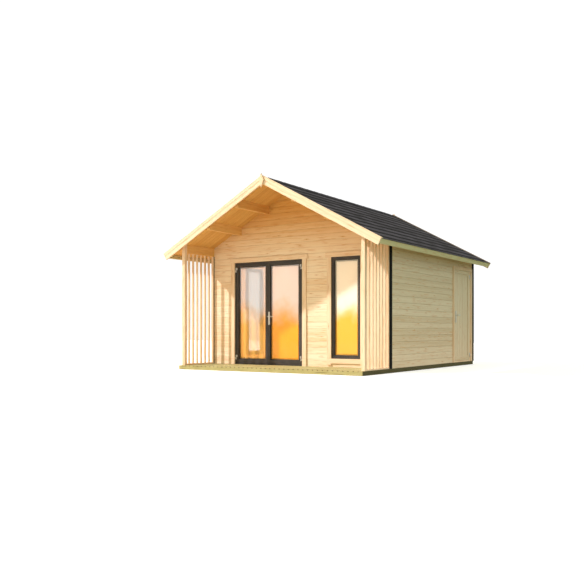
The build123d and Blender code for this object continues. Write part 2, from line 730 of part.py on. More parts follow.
def make_side_door():
    turn = side_door_turn()
    y_in = SIDE_LEAF_THICKNESS
    half = SIDE_DOOR_WIDTH / 2
    frame = door_frame((-half, BASE_HEIGHT), (half, SIDE_DOOR_TOP), 0, SIDE_FRAME_FACE, y_in)
    axis_x = half - SIDE_FRAME_FACE
    hinge_x = axis_x - LEAF_GAP
    closing_x = -hinge_x
    z_low = BASE_HEIGHT + THRESHOLD + LEAF_GAP
    z_high = SIDE_DOOR_TOP - SIDE_FRAME_FACE - LEAF_GAP
    panel_low = (closing_x + SIDE_STILE, z_low + SIDE_BOTTOM_RAIL)
    panel_high = (hinge_x - SIDE_STILE, z_high - SIDE_TOP_RAIL)
    opening = block((panel_low[0], 0, panel_low[1]), (panel_high[0], y_in, panel_high[1]))
    panel_back = y_in - PANEL_RECESS
    panel = boarded_panel(panel_low[0], panel_high[0], PANEL_RECESS, panel_back, panel_low[1], panel_high[1])
    lever_x = closing_x + SIDE_STILE / 2
    lever_z = BASE_HEIGHT + SIDE_LEVER_HEIGHT
    hole = spindle_hole(lever_x, lever_z, 0, y_in)
    leaf = leaf_slab(hinge_x, closing_x, 0, y_in, z_low, z_high) - opening + panel - hole
    fittings = [plate - hole for plate in handle_plates(lever_x, lever_z, 0, y_in)]
    hinges = []
    for z in (z_low + HINGE_INSET, z_high - HINGE_INSET):
        hinges.append(knuckle(axis_x, 0, z, 1, -1))
        fittings.append(knuckle(axis_x, 0, z, -1, 1))
    nodes["side_door_frame"] = turn * frame
    nodes["side_leaf"] = turn * leaf
    nodes["side_leaf_fittings"] = turn * Compound(fittings)
    nodes["side_levers"] = turn * lever_pair(lever_x, lever_z, 0, y_in)
    nodes["side_hinges"] = turn * Compound(hinges)


# Casings: boards on the wall's outer face, which lap over the frame
def casing(x_low, x_high, bottom, top, width, head_lap, overhang):
    """Two uprights and a head round an opening, in front of the plane y = 0."""
    inner_low = x_low + CASING_LAP
    inner_high = x_high - CASING_LAP
    head = top - head_lap
    left = block((inner_low - width, -CASING_THICKNESS, bottom), (inner_low, 0, head))
    right = block((inner_high, -CASING_THICKNESS, bottom), (inner_high + width, 0, head))
    over = block(
        (inner_low - width - overhang, -CASING_THICKNESS, head),
        (inner_high + width + overhang, 0, head + width),
    )
    return fused([left, over, right])


def make_casings():
    front = Pos(0, FRONT_FACE, 0)
    door = casing(DOOR_LEFT, DOOR_RIGHT, BASE_HEIGHT, DOOR_TOP, CASING_WIDTH, CASING_LAP, HEAD_OVERHANG)
    half = SIDE_DOOR_WIDTH / 2
    side = casing(-half, half, BASE_HEIGHT, SIDE_DOOR_TOP, SIDE_CASING_WIDTH, SIDE_HEAD_LAP, 0)
    nodes["door_casings"] = Compound([front * door, side_door_turn() * side])
    # The uprights of a window run down past its sill board.
    sill = WINDOW_BOTTOM - CASING_REACH
    foot = sill - HEAD_OVERHANG
    window = casing(WINDOW_LEFT, WINDOW_RIGHT, foot, WINDOW_TOP, CASING_WIDTH, CASING_LAP, HEAD_OVERHANG)
    window = window + block(
        (WINDOW_LEFT + CASING_LAP, -CASING_THICKNESS, sill),
        (WINDOW_RIGHT - CASING_LAP, 0, WINDOW_BOTTOM + CASING_LAP),
    )
    placed = front * window
    nodes["window_casings"] = Compound([placed, side_window_turn() * placed])


make_base()
make_front_wall()
make_rear_wall()
make_side_walls()
make_gables(make_purlins())
make_roof()
make_eaves()
make_verges()
make_porch()
make_corner_strips()
make_front_door()
make_windows()
make_side_door()
make_casings()

for name, shape in nodes.items():
    export_step(shape, os.path.join("parts", name + ".step"))
print(len(nodes), "nodes written")
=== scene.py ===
# %% [markdown]
# # A log cabin with a porch
# The cabin's logs, roof boards, posts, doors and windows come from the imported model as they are, and
# each one gets the finish of its own timber, paint or metal. Where the real cabin has many small
# parts laid side by side, such as deck boards or shingles, new pieces take the place of the plain
# slab. Every length is in metres, and the cabin stands on z = 0.

# %% Load the frame
import math

import bpy
from mathutils import Matrix, Vector


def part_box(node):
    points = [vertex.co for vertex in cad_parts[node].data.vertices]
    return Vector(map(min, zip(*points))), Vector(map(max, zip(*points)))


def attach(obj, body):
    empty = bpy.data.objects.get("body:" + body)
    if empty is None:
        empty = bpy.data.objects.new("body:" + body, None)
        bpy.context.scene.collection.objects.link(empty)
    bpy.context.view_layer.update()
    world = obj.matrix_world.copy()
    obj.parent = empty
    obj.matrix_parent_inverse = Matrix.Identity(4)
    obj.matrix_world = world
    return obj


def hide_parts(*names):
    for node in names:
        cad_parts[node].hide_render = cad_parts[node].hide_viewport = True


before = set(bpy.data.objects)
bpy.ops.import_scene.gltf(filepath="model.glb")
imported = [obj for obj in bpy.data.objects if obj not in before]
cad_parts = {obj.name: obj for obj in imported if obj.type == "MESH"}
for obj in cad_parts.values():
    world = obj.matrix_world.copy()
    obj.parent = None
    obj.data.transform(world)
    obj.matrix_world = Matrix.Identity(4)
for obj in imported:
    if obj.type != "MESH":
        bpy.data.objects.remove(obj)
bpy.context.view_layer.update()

# %% [markdown]
# ## The camera
# The camera stands off the front right corner, level, and about as high as a table. A level camera
# keeps the posts upright in the picture, and the lens is shifted up a little to take in the ridge,
# just as an architect's camera is. The focal length was measured in pixels of a picture of that
# width, so it is turned into millimetres here.

# %% Camera
PICTURE_WIDTH = 584
FOCAL_LENGTH = 740.26
HORIZON_BELOW_MIDDLE = 38.81
SENSOR_WIDTH = 36.0
CAMERA_PLACE = (7.463, -13.054, 0.722)
CAMERA_TURN = math.radians(33.27)

lens = bpy.data.cameras.new("lens")
lens.sensor_width = SENSOR_WIDTH
lens.lens = FOCAL_LENGTH * SENSOR_WIDTH / PICTURE_WIDTH
lens.shift_y = HORIZON_BELOW_MIDDLE / PICTURE_WIDTH
camera = bpy.data.objects.new("camera", lens)
camera.location = CAMERA_PLACE
camera.rotation_euler = (math.radians(90), 0, CAMERA_TURN)
bpy.context.scene.collection.objects.link(camera)
bpy.context.scene.camera = camera
print("the lens is", round(lens.lens, 1), "mm long")

# %% [markdown]
# ## How a finish is written
# A finish is a small program that runs at each point of a surface. Most of it is arithmetic on
# numbers, so a number that changes over the surface is wrapped in the class Value, and Python's own
# signs add the Math nodes.

# %% Values
class Value:
    """A number that changes over a surface."""

    def __init__(self, nodes, socket):
        self.nodes = nodes
        self.socket = socket

    def maths(self, operation, first, second=0.0):
        return self.nodes.node("ShaderNodeMath", {"operation": operation}, {0: first, 1: second})

    def __add__(self, other):
        return self.maths("ADD", self, other)

    def __sub__(self, other):
        return self.maths("SUBTRACT", self, other)

    def __rsub__(self, other):
        return self.maths("SUBTRACT", other, self)

    def __mul__(self, other):
        return self.maths("MULTIPLY", self, other)

    def __truediv__(self, other):
        return self.maths("DIVIDE", self, other)

    def __rtruediv__(self, other):
        return self.maths("DIVIDE", other, self)

    def __gt__(self, other):
        return self.maths("GREATER_THAN", self, other)

    def __lt__(self, other):
        return self.maths("LESS_THAN", self, other)

    __radd__ = __add__
    __rmul__ = __mul__

    def floor(self):
        return self.maths("FLOOR", self)

    def root(self):
        return self.maths("SQRT", self)

    def wave(self):
        return self.maths("SINE", self)

    def size(self):
        return self.maths("ABSOLUTE", self)

    def ramp(self, low, high, at_low=0.0, at_high=1.0):
        """Goes smoothly from at_low to at_high as this value goes from low to high."""
        ends = {"From Min": low, "From Max": high, "To Min": at_low, "To Max": at_high}
        settings = {"interpolation_type": "SMOOTHSTEP"}
        return self.nodes.node("ShaderNodeMapRange", settings, {"Value": self, **ends})


def tone(red, green, blue):
    """A colour, given from 0 to 255 as on a screen, as the light that it reflects."""
    parts = [part / 255 for part in (red, green, blue)]
    return (*[((p + 0.055) / 1.055) ** 2.4 if p > 0.04 else p / 12.92 for p in parts], 1.0)


print("a middle grey reflects", round(tone(119, 119, 119)[0], 3), "of the light")

# %% [markdown]
# Every other node is made by one method, from its type, its settings and what goes into it. The
# studio's world is a tree of nodes too, so what any tree can do is in one class, and a finish adds
# to it what only a surface has.

# %% Nodes and finishes
MIX_FACTOR, MIX_FIRST, MIX_SECOND, MIX_RESULT = 0, 6, 7, 2


class Nodes:
    """A tree of nodes, and what can be built in it."""

    def __init__(self, tree):
        self.tree = tree

    def feed(self, socket, value):
        if isinstance(value, Value):
            self.tree.links.new(value.socket, socket)
        else:
            socket.default_value = value

    def node(self, kind, settings=(), inputs=(), output=0):
        made = self.tree.nodes.new(kind)
        for name, setting in dict(settings).items():
            setattr(made, name, setting)
        for name, value in dict(inputs).items():
            self.feed(made.inputs[name], value)
        return Value(self, made.outputs[output])

    def reach(self, place, direction):
        """How far a place lies in a direction."""
        inputs = {0: place, 1: direction}
        return self.node("ShaderNodeVectorMath", {"operation": "DOT_PRODUCT"}, inputs, "Value")

    def mirrored(self, place):
        """The place with its signs dropped, so that both sides of the roof are one."""
        return self.node("ShaderNodeVectorMath", {"operation": "ABSOLUTE"}, {0: place})

    def point(self, x, y, z=0.0):
        return self.node("ShaderNodeCombineXYZ", (), {0: x, 1: y, 2: z})

    def noise(self, point, scale=1.0, detail=2.0, roughness=0.5):
        inputs = {"Vector": point, "Scale": scale, "Detail": detail, "Roughness": roughness}
        return self.node("ShaderNodeTexNoise", {"noise_dimensions": "3D"}, inputs)

    def lot(self, x, y=0.0, z=0.0):
        """Three numbers drawn by lot for a cell, each from 0 to 1."""
        cell = {"Vector": self.point(x, y, z)}
        drawn = self.node("ShaderNodeTexWhiteNoise", {"noise_dimensions": "3D"}, cell, "Color")
        return [self.node("ShaderNodeSeparateColor", (), {0: drawn}, part) for part in range(3)]

    def mix(self, factor, first, second, blend="MIX"):
        settings = {"data_type": "RGBA", "blend_type": blend, "clamp_factor": True}
        inputs = {MIX_FACTOR: factor, MIX_FIRST: first, MIX_SECOND: second}
        return self.node("ShaderNodeMix", settings, inputs, MIX_RESULT)


class Finish(Nodes):
    """A material, whose nodes feed its surface."""

    def __init__(self, name):
        self.material = bpy.data.materials.new(name)
        self.material.use_nodes = True
        super().__init__(self.material.node_tree)
        self.surface = self.tree.nodes["Principled BSDF"]

    def set(self, **sockets):
        """Feeds the surface's sockets. An underline in a name stands for a space."""
        for name, value in sockets.items():
            self.feed(self.surface.inputs[name.replace("_", " ")], value)

    def place(self):
        return self.node("ShaderNodeTexCoord", output="Object")

    def bump(self, height, depth):
        """Relief of that depth in metres where height goes from 0 to 1."""
        inputs = {"Strength": 1.0, "Distance": depth, "Height": height}
        self.set(Normal=self.node("ShaderNodeBump", (), inputs, "Normal"))


# %% [markdown]
# ## The light
# A sun stands to the front left, so the front glows and the right side lies in its own shade. A
# long, low panel on the right lifts the foot of that side a little. A lamp hangs in the room, which
# is what makes the panes look lit from behind. The picture's colours are taken straight from the
# light, without a film look, so pale timber can be as bright as it is in the open air.

# %% Lights
SUN_PLACE = (-8, -5, 7)
SUN_HEADING = (1.6, 1.0, -1.42)
SUN_SPREAD = math.radians(1.6)
SUN_STRENGTH = 5.0
SUN_COLOUR = (1.0, 0.93, 0.97)
PANEL_PLACE = (3.3, 0.4, 0.12)
PANEL_HEADING = (-1.0, 0, 0.1)
PANEL_SIZE = (5.0, 0.5)
PANEL_STRENGTH = 8
PANEL_COLOUR = (1.0, 0.80, 0.74)
LAMP_PLACE = (0, 0.45, 2.45)
LAMP_HEADING = (0, 0, -1)
LAMP_SIZE = (2.8, 3.2)
LAMP_STRENGTH = 205
LAMP_COLOUR = (1.0, 0.78, 0.52)

bpy.context.scene.view_settings.view_transform = "Standard"


def hang(name, kind, strength, colour, place, heading, size=None):
    """Hangs a light out of the camera's sight, shining along a heading."""
    light = bpy.data.lights.new(name, kind)
    light.energy = strength
    light.color = colour
    if size:
        light.shape = "RECTANGLE"
        light.size, light.size_y = size
    holder = bpy.data.objects.new(name, light)
    holder.location = place
    holder.rotation_euler = Vector(heading).to_track_quat("-Z", "Y").to_euler()
    holder.visible_camera = False
    bpy.context.scene.collection.objects.link(holder)
    return light


sun_light = hang("sun", "SUN", SUN_STRENGTH, SUN_COLOUR, SUN_PLACE, SUN_HEADING)
sun_light.angle = SUN_SPREAD
hang("low_panel", "AREA", PANEL_STRENGTH, PANEL_COLOUR, PANEL_PLACE, PANEL_HEADING, PANEL_SIZE)
hang("room_lamp", "AREA", LAMP_STRENGTH, LAMP_COLOUR, LAMP_PLACE, LAMP_HEADING, LAMP_SIZE)
print("lit by a sun, a low panel and a lamp in the room")

# %% [markdown]
# The studio round the cabin fills the shade, warm from the front and cooler from the right. It is a
# world whose colour follows the direction that light comes from: how far that direction leans to
# the right picks the tone. The camera itself sees plain white there. Each strength is worked into
# its colour, so that only one socket of the background changes.

# %% Studio walls
FILL_STRENGTH = 0.70
BACKDROP_STRENGTH = 1.05
WARM_FILL = (1.20, 1.07, 0.80)
COOL_FILL = (1.10, 1.27, 1.25)
WHITE = (1.0, 1.0, 1.0)
TO_THE_RIGHT = (0.96, 0.28, 0.0)


def glow(colour, strength):
    """A colour of light at that strength."""
    return (*[part * strength for part in colour], 1.0)


studio = bpy.data.worlds.new("studio")
studio.use_nodes = True
bpy.context.scene.world = studio
walls = Nodes(studio.node_tree)
to_right = walls.reach(walls.node("ShaderNodeTexCoord", output="Generated"), TO_THE_RIGHT)
seen = walls.node("ShaderNodeLightPath", output="Is Camera Ray")
fill = walls.mix(
    to_right.ramp(-0.2, 0.6), glow(WARM_FILL, FILL_STRENGTH), glow(COOL_FILL, FILL_STRENGTH)
)
backdrop = walls.tree.nodes["Background"]
walls.feed(backdrop.inputs["Color"], walls.mix(seen, fill, glow(WHITE, BACKDROP_STRENGTH)))
walls.feed(backdrop.inputs["Strength"], 1.0)
print("the studio fills the shade with", len(walls.tree.nodes), "nodes")

# %% [markdown]
# ## Timber
# Planed spruce shows growth rings cut lengthwise: fine lines that run along the board and open out
# round a knot. So the pattern is made in the board's own space, along it, across it and into it.
# Each board has its own pith, a line somewhere behind its face, and the distance from that line draws the
# rings. Every board draws its tone, its pith and its knots by lot, as boards from different trees do. The
# edges of a log are darker: partly resin and dust in the joint, partly painted shade that falls in the
# groove.

# %% Timber
ALONG_X, ALONG_Y, ALONG_Z = (1, 0, 0), (0, 1, 0), (0, 0, 1)
RING_SPACING = 0.0042
PITH_DEPTH = 0.021
PITH_SPREAD = 1.3
PITH_WANDER = 0.05
KNOT_CELL = 0.85
KNOT_SIZE = 0.0105
KNOT_LIMIT = 0.55
KNOT_COLOUR = (204, 142, 72)
REAR_DARK_COLOUR = (66, 54, 42)
JOINT_STAIN_AND_SHADE = 0.005
TIMBER_RELIEF = 0.0006
NO_TURN = 9.0


def timber(name, along, across, width, start=0.0, pale=None, deep=None, joint=0.0, mirror=False,
           turn_above=NO_TURN, turn_below=-NO_TURN, painted_shade=None, rear_darkened=False):
    """Planed boards of that width, laid side by side from start. Turned parts have the grain across."""
    finish = Finish(name)
    place = finish.place()
    height = finish.reach(place, ALONG_Z)
    forward = finish.reach(place, ALONG_Y)
    if mirror:
        place = finish.mirrored(place)
    length = finish.reach(place, along)
    breadth = finish.reach(place, across)
    depth = finish.reach(place, tuple(Vector(along).cross(Vector(across))))
    if turn_above < NO_TURN or turn_below > -NO_TURN:
        turned = (height > turn_above) + (height < turn_below)
        length, breadth = length + (breadth - length) * turned, breadth + (length - breadth) * turned
    count = (breadth - start) / width
    board = count.floor()
    offset = (count - board - 0.5) * width
    tint, pith, twist = finish.lot(board, depth.floor(), 3.0)

    # Knots: one chance in each length of board, at a place drawn by lot, with a flame beside it
    cell = length / KNOT_CELL + tint * 7.0
    number = cell.floor()
    along_lot, across_lot, size_lot = finish.lot(number, board, 11.0)
    to_knot = (cell - number - along_lot * 0.6 - 0.2) * KNOT_CELL
    beside_knot = offset - (across_lot - 0.5) * (width * 0.7)
    there = size_lot > KNOT_LIMIT
    knot_distance = ((to_knot * to_knot) * 0.30 + beside_knot * beside_knot).root()
    flame_distance = ((to_knot * to_knot) * 0.04 + beside_knot * beside_knot).root()
    knot_size = size_lot * KNOT_SIZE
    in_knot = (knot_distance / knot_size).ramp(0.35, 1.0, 1.0, 0.0) * there
    flame = (flame_distance / knot_size).ramp(0.2, 1.7, 1.0, 0.0) * there

    # Rings round the pith, which wanders along the board and bows out round a knot
    wander = finish.noise(finish.point(length * 0.9, board * 3.1, depth), 1.0, 2.0)
    from_pith = offset - (pith - 0.5) * width * PITH_SPREAD + (wander - 0.5) * PITH_WANDER
    behind = depth + (twist - 0.5) * 0.04 + PITH_DEPTH
    radius = (from_pith * from_pith + behind * behind).root()
    bow = in_knot * 0.004 + flame * 0.006
    rings = ((radius + bow) * (2 * math.pi / RING_SPACING)).wave() * 0.5 + 0.5
    latewood = rings.ramp(0.45, 1.0)

    # Fibres, streaks, clouds and resin are noise stretched along the board, from fine to broad
    fibres = finish.noise(finish.point(length * 4.0, breadth * 260.0, depth * 260.0), 1.0, 2.0)
    streaks = finish.noise(finish.point(length * 0.8, breadth * 34.0, depth * 20.0 + board * 1.7), 1.0, 3.0)
    clouds = finish.noise(finish.point(length * 0.5, breadth * 2.5, depth + board), 1.0, 2.0)
    resin = finish.noise(finish.point(length * 4.2, breadth * 62.0, depth * 62.0 + board), 1.0, 2.0)

    # The tone, and then what darkens it
    shade = latewood * 0.26 + (streaks - 0.5) * 0.95 + (fibres - 0.5) * 0.25
    shade = shade + (clouds - 0.4) * 0.5 + tint * 0.52 - 0.08
    colour = finish.mix(shade, tone(*pale), tone(*deep))
    colour = finish.mix(resin.ramp(0.53, 0.72) * 0.46, colour, tone(*KNOT_COLOUR))
    colour = finish.mix(flame * 0.42, colour, tone(*KNOT_COLOUR))
    colour = finish.mix(in_knot * 0.42, colour, tone(*[part * 0.78 for part in KNOT_COLOUR]))
    # Darker at a board's edges: resin and dust in the joint, and painted shade in the groove.
    if joint:
        at_edge = (width / 2 - offset.size()).ramp(0.0, JOINT_STAIN_AND_SHADE, joint, 0.0)
        colour = finish.mix(at_edge, colour, tone(*[part * 0.62 for part in KNOT_COLOUR]))
    if painted_shade:
        # Painted shade: the front faces grow warmer and darker towards the porch roof, for the warm shade
        # under it.
        painted_porch_shade = height.ramp(*painted_shade) * (forward < 0.0)
        colour = finish.mix(painted_porch_shade, colour, PORCH_SHADE_TINT, "MULTIPLY")
    # The laths on the rear half are darkened towards a dark brown.
    if rear_darkened:
        colour = finish.mix((forward > 0.0) * 0.8, colour, tone(*REAR_DARK_COLOUR))
    finish.set(Base_Color=colour, Roughness=fibres * 0.22 + latewood * -0.08 + 0.5)
    finish.set(Specular_IOR_Level=0.22)
    finish.bump(fibres * 0.35 + latewood * 0.4 + in_knot * -0.4, TIMBER_RELIEF)
    return finish.material


# %% [markdown]
# ## Which timber goes where
# A log's grain lies flat, a post's stands up, and a bargeboard's climbs with the roof. The logs are 114 mm
# high and start on the base, so the same numbers that the logs have in the wall pick out one log from the
# next here. The front faces get a painted warm shade that grows towards the roof of the porch. The tone
# sets below are lit and shaded copies of one pine, each painted for the light on its parts: paler ones for
# light, a cooler one for the right side's shade, a darker one for the left wall that the sun strikes
# hardest, orange ones for the warm shade under the roofs, and a green one for the shade on the fascias.

# %% Timber of the walls, the roof and the porch
LOG_HEIGHT = 0.114
BASE_TOP = 0.075
ROOF_PITCH = math.radians(28.3)
LEAN = math.cos(ROOF_PITCH)
SINE = math.sin(ROOF_PITCH)
DOWN_SLOPE = (LEAN, 0, -SINE)
OFF_SLOPE = (SINE, 0, LEAN)
HEAD = 2.043
PORCH_SHADE_TINT = (0.80, 0.54, 0.21, 1.0)

# Lit and shaded copies of one pine: each set is painted for the light that its parts get.
WARM = {"pale": (236, 211, 178), "deep": (222, 184, 140)}
SUNNY = {"pale": (241, 222, 192), "deep": (230, 197, 154)}
SHADED = {"pale": (226, 207, 176), "deep": (204, 179, 140)}
DARKER_AGAINST_SUN = {"pale": (212, 186, 146), "deep": (194, 160, 112)}
GREEN_SHADE_TONE = {"pale": (214, 202, 160), "deep": (194, 182, 138)}
ORANGE = {"pale": (224, 175, 101), "deep": (200, 141, 66)}
LIT = {"pale": (236, 190, 120), "deep": (214, 160, 88)}

ONE_BOARD = 0.30
UPRIGHT_PITCH = 0.1173
POST_START = 0.03
FIN_START = 0.0085
SOLE_TOP = BASE_TOP + 0.025
CASING_CELL, CASING_START = 0.26, 0.04
CASING_HEAD, CASING_FOOT = HEAD - 0.004, 0.221
DOOR_BOARD, DOOR_START = 0.095, 1.532
TOP_RAIL, BOTTOM_RAIL = 1.892, 0.196
SIDE_HEAD, SIDE_SILL, SIDE_START = HEAD - 0.01, BASE_TOP + 0.03, 1.30
FINIAL_CELL = 0.20
ROOF_BOARD_PITCH = 2 * 2.604 / 54
PURLIN_CELL, PURLIN_START = 0.35, 0.1

LOGS = {"across": ALONG_Z, "width": LOG_HEIGHT, "start": BASE_TOP}
SLOPED = {"along": DOWN_SLOPE, "across": OFF_SLOPE, "width": ONE_BOARD, "mirror": True}

finishes = {}
finishes["front logs"] = timber("pine_front_logs", ALONG_X, joint=0.28, painted_shade=(1.9, 3.1), **LOGS, **SUNNY)
finishes["side logs"] = timber("pine_side_logs", ALONG_Y, joint=0.30, **LOGS, **SHADED)
# Painted shade: the left wall, which the sun strikes hardest, gets a darker tone.
finishes["left logs"] = timber("pine_left_logs", ALONG_Y, joint=0.30, **LOGS, **DARKER_AGAINST_SUN)
finishes["uprights"] = timber("pine_uprights", ALONG_Z, ALONG_Y, UPRIGHT_PITCH, POST_START, **WARM)
finishes["screens"] = timber(
    "pine_screens", ALONG_Z, ALONG_Y, UPRIGHT_PITCH, FIN_START, turn_below=SOLE_TOP, **WARM
)
finishes["front casings"] = timber(
    "pine_casings", ALONG_Z, ALONG_X, CASING_CELL, CASING_START,
    turn_above=CASING_HEAD, turn_below=CASING_FOOT, **WARM
)
finishes["finials"] = timber("pine_finials", ALONG_Z, ALONG_X, FINIAL_CELL, -FINIAL_CELL / 2, **WARM)
finishes["side door"] = timber(
    "pine_side_door", ALONG_Z, ALONG_Y, DOOR_BOARD, DOOR_START, joint=0.4,
    turn_above=TOP_RAIL, turn_below=BOTTOM_RAIL, **SHADED
)
finishes["side casings"] = timber(
    "pine_side_casings", ALONG_Z, ALONG_Y, ONE_BOARD, SIDE_START,
    turn_above=SIDE_HEAD, turn_below=SIDE_SILL, **SUNNY
)
finishes["verge laths"] = timber("pine_verge_laths", rear_darkened=True, **SLOPED, **WARM)
finishes["barges"] = timber("pine_barges", **SLOPED, **WARM)
# The roof boards' orange is painted warm shade, as light bounced under the eaves gives it.
finishes["roof boards"] = timber(
    "pine_roof_boards", DOWN_SLOPE, ALONG_Y, ROOF_BOARD_PITCH, mirror=True, joint=0.45, **ORANGE
)
# The purlins and porch headers carry painted warm shade too.
finishes["purlins"] = timber("pine_purlins", ALONG_Y, ALONG_Z, PURLIN_CELL, PURLIN_START, **LIT)
# The fascias carry a painted green shade.
finishes["fascias"] = timber("pine_fascias", ALONG_Y, OFF_SLOPE, ONE_BOARD, mirror=True, **GREEN_SHADE_TONE)
print(len(finishes), "kinds of planed pine")

# %% [markdown]
# ## Treated base
# The bearers are the lowest timber of all, so they are soaked in a green preservative. It leaves the front
# a pale olive and the sides much darker. The split follows the way a face looks, which the Geometry node
# tells as the surface's normal. Below each gap between the deck boards, the top of the front bearer gets a
# dark spot of painted shade.

# %% Treated timber
TREATED_PALE, TREATED_DEEP = (190, 183, 134), (156, 148, 92)
SIDE_FACE_DARK_COLOUR, GAP_SHADE_COLOUR, CHECK_COLOUR = (66, 62, 34), (84, 70, 38), (70, 58, 34)
BOARDS_A_METRE = 9.9
FRONT_BEARER = -2.5
TREATED_RELIEF = 0.0012
DECK_BOARDS = 39
deck_low, deck_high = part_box("porch_deck")
DECK_START = deck_low.x
DECK_PITCH = (deck_high.x - deck_low.x) / DECK_BOARDS


def treated(name, along, across, dark_sides=False, gap_shade=False):
    """Pressure-treated softwood, with dark sides and painted shade under the deck gaps where asked for."""
    finish = Finish(name)
    place = finish.place()
    length = finish.reach(place, along)
    breadth = finish.reach(place, across)
    other = finish.reach(place, tuple(Vector(along).cross(Vector(across))))
    streaks = finish.noise(finish.point(length * 1.5, breadth * 60.0, other * 60.0), 1.0, 4.0)
    blotches = finish.noise(place, 5.0, 3.0)
    splits = finish.noise(finish.point(length * 3.0, breadth * 210.0, other * 210.0), 1.0, 1.0)
    checks = splits.ramp(0.63, 0.70)
    tint, _, _ = finish.lot((breadth * BOARDS_A_METRE).floor(), 5.0)
    shade = (streaks - 0.5) * 1.1 + (blotches - 0.5) * 0.8 + tint * 0.5 + 0.3
    colour = finish.mix(shade, tone(*TREATED_PALE), tone(*TREATED_DEEP))
    # Faces that look sideways are darkened towards a dark olive.
    if dark_sides:
        facing = finish.node("ShaderNodeNewGeometry", output="Normal")
        sideways = finish.reach(facing, ALONG_X).size().ramp(0.5, 0.8)
        colour = finish.mix(sideways * 0.9, colour, tone(*SIDE_FACE_DARK_COLOUR))
    # Painted shade: a dark spot at the top of the front bearer below each gap between the deck boards.
    if gap_shade:
        joint_number = ((length - DECK_START) / DECK_PITCH + 0.5).floor()
        to_joint = joint_number * DECK_PITCH + DECK_START - length
        low_edge = finish.reach(place, ALONG_Z) + streaks * 0.014
        painted_gap_shade = to_joint.size().ramp(0.004, 0.020, 1.0, 0.0) * low_edge.ramp(0.058, 0.078)
        colour = finish.mix(painted_gap_shade * (breadth < FRONT_BEARER) * 0.95, colour, tone(*GAP_SHADE_COLOUR))
    colour = finish.mix(checks * 0.6, colour, tone(*CHECK_COLOUR))
    finish.set(Base_Color=colour, Roughness=streaks * 0.2 + 0.62)
    finish.set(Specular_IOR_Level=0.2)
    finish.bump(streaks * 0.4 + checks * -1.0, TREATED_RELIEF)
    return finish.material


finishes["side bearers"] = treated("treated_side_bearers", ALONG_Y, ALONG_X, dark_sides=True)
finishes["cross bearers"] = treated("treated_cross_bearers", ALONG_X, ALONG_Y, gap_shade=True)
finishes["deck"] = treated("treated_deck", ALONG_Y, ALONG_X)
print(DECK_BOARDS, "deck boards,", round(DECK_PITCH * 1000, 1), "mm from one to the next")

# %% [markdown]
# ## Paint, metal, rubber and glass
# The doors and windows have a satin anthracite coat: smooth, with the faintest ripple from the
# brush and a little dust. The corner strips are nearly black. Steel is brushed, so its roughness
# runs in fine lines.

# %% Paint and metal
def satin_paint(name, colour, dusty, roughness=0.34, gloss=0.5):
    """An even coat with a slight ripple, dustier where the noise is high."""
    finish = Finish(name)
    place = finish.place()
    ripple = finish.noise(place, 180.0, 2.0)
    dust = finish.noise(place, 6.0, 4.0).ramp(0.45, 0.8)
    scuffs = finish.noise(place, 900.0, 1.0).ramp(0.68, 0.74)
    base = finish.mix(dust * 0.35 + scuffs * 0.25, tone(*colour), tone(*dusty))
    finish.set(Base_Color=base, Roughness=ripple * 0.14 + dust * 0.16 + roughness)
    finish.set(Specular_IOR_Level=gloss)
    finish.bump(ripple, 0.00025)
    return finish.material


def brushed_steel(name, along):
    """Satin steel, brushed along one direction."""
    finish = Finish(name)
    place = finish.place()
    fine = tuple(60 if part else 1500 for part in along)
    lines = finish.noise(finish.node("ShaderNodeMapping", (), {"Vector": place, "Scale": fine}), 1.0, 2.0)
    smears = finish.noise(place, 30.0, 3.0)
    finish.set(Base_Color=finish.mix(smears, tone(226, 224, 220), tone(196, 194, 190)))
    finish.set(Metallic=1.0, Roughness=lines * 0.18 + smears * 0.08 + 0.2)
    finish.bump(lines, 0.00008)
    return finish.material


finishes["anthracite"] = satin_paint("anthracite_paint", (52, 47, 44), (92, 84, 76))
finishes["black"] = satin_paint("black_strip", (10, 8, 6), (24, 20, 15), 0.6, 0.12)
finishes["rubber"] = satin_paint("rubber_gasket", (15, 15, 16), (38, 37, 36), 0.6, 0.2)
finishes["steel"] = brushed_steel("satin_steel", ALONG_Z)
print(len(finishes), "finishes so far")

# %% [markdown]
# The panes carry a painted reflection that changes with height: low down it is amber over the lit room, and
# higher up it goes pale, as a sky looks in glass, and a soft noise keeps the change from being a straight
# line. The pane is thin, so light should go straight through it: Alpha does that, while the gloss stays on
# top. The left wall's window shares its node with the front one, and its pane, told apart by where it is,
# is nearly clear.

# %% Glass
LEFT_WALL = -1.8
CLEAR_COLOUR = (188, 208, 226)
GLASS_IOR = 1.52


def glazing(name, low, high, thin):
    """A pane whose painted reflection goes from one tone below to another above."""
    finish = Finish(name)
    place = finish.place()
    height = finish.reach(place, ALONG_Z)
    reflection_noise = finish.noise(place, 1.6, 3.0)
    # Painted reflection: pale high up and amber low down, with a noisy edge between.
    painted_reflection = (height + (reflection_noise - 0.5) * 0.8).ramp(0.8, 1.25)
    colour = finish.mix(painted_reflection, tone(*low), tone(*high))
    in_front = finish.reach(place, ALONG_X) > LEFT_WALL
    colour = finish.mix(in_front, tone(*CLEAR_COLOUR), colour)
    density = in_front * (painted_reflection * 0.08 + reflection_noise * 0.06 + 0.38 - thin) + 0.18
    finish.set(Base_Color=colour, Roughness=reflection_noise * 0.03 + 0.01, Alpha=density)
    finish.set(IOR=GLASS_IOR)
    return finish.material


finishes["glass"] = glazing("warm_glazing", (255, 180, 30), (250, 246, 255), 0.0)
finishes["window glass"] = glazing("window_glazing", (255, 196, 66), (255, 252, 240), -0.10)
finishes["clearer glass"] = glazing("clear_glazing", (232, 186, 92), (222, 230, 250), 0.14)
print(len(finishes), "finishes with the panes")

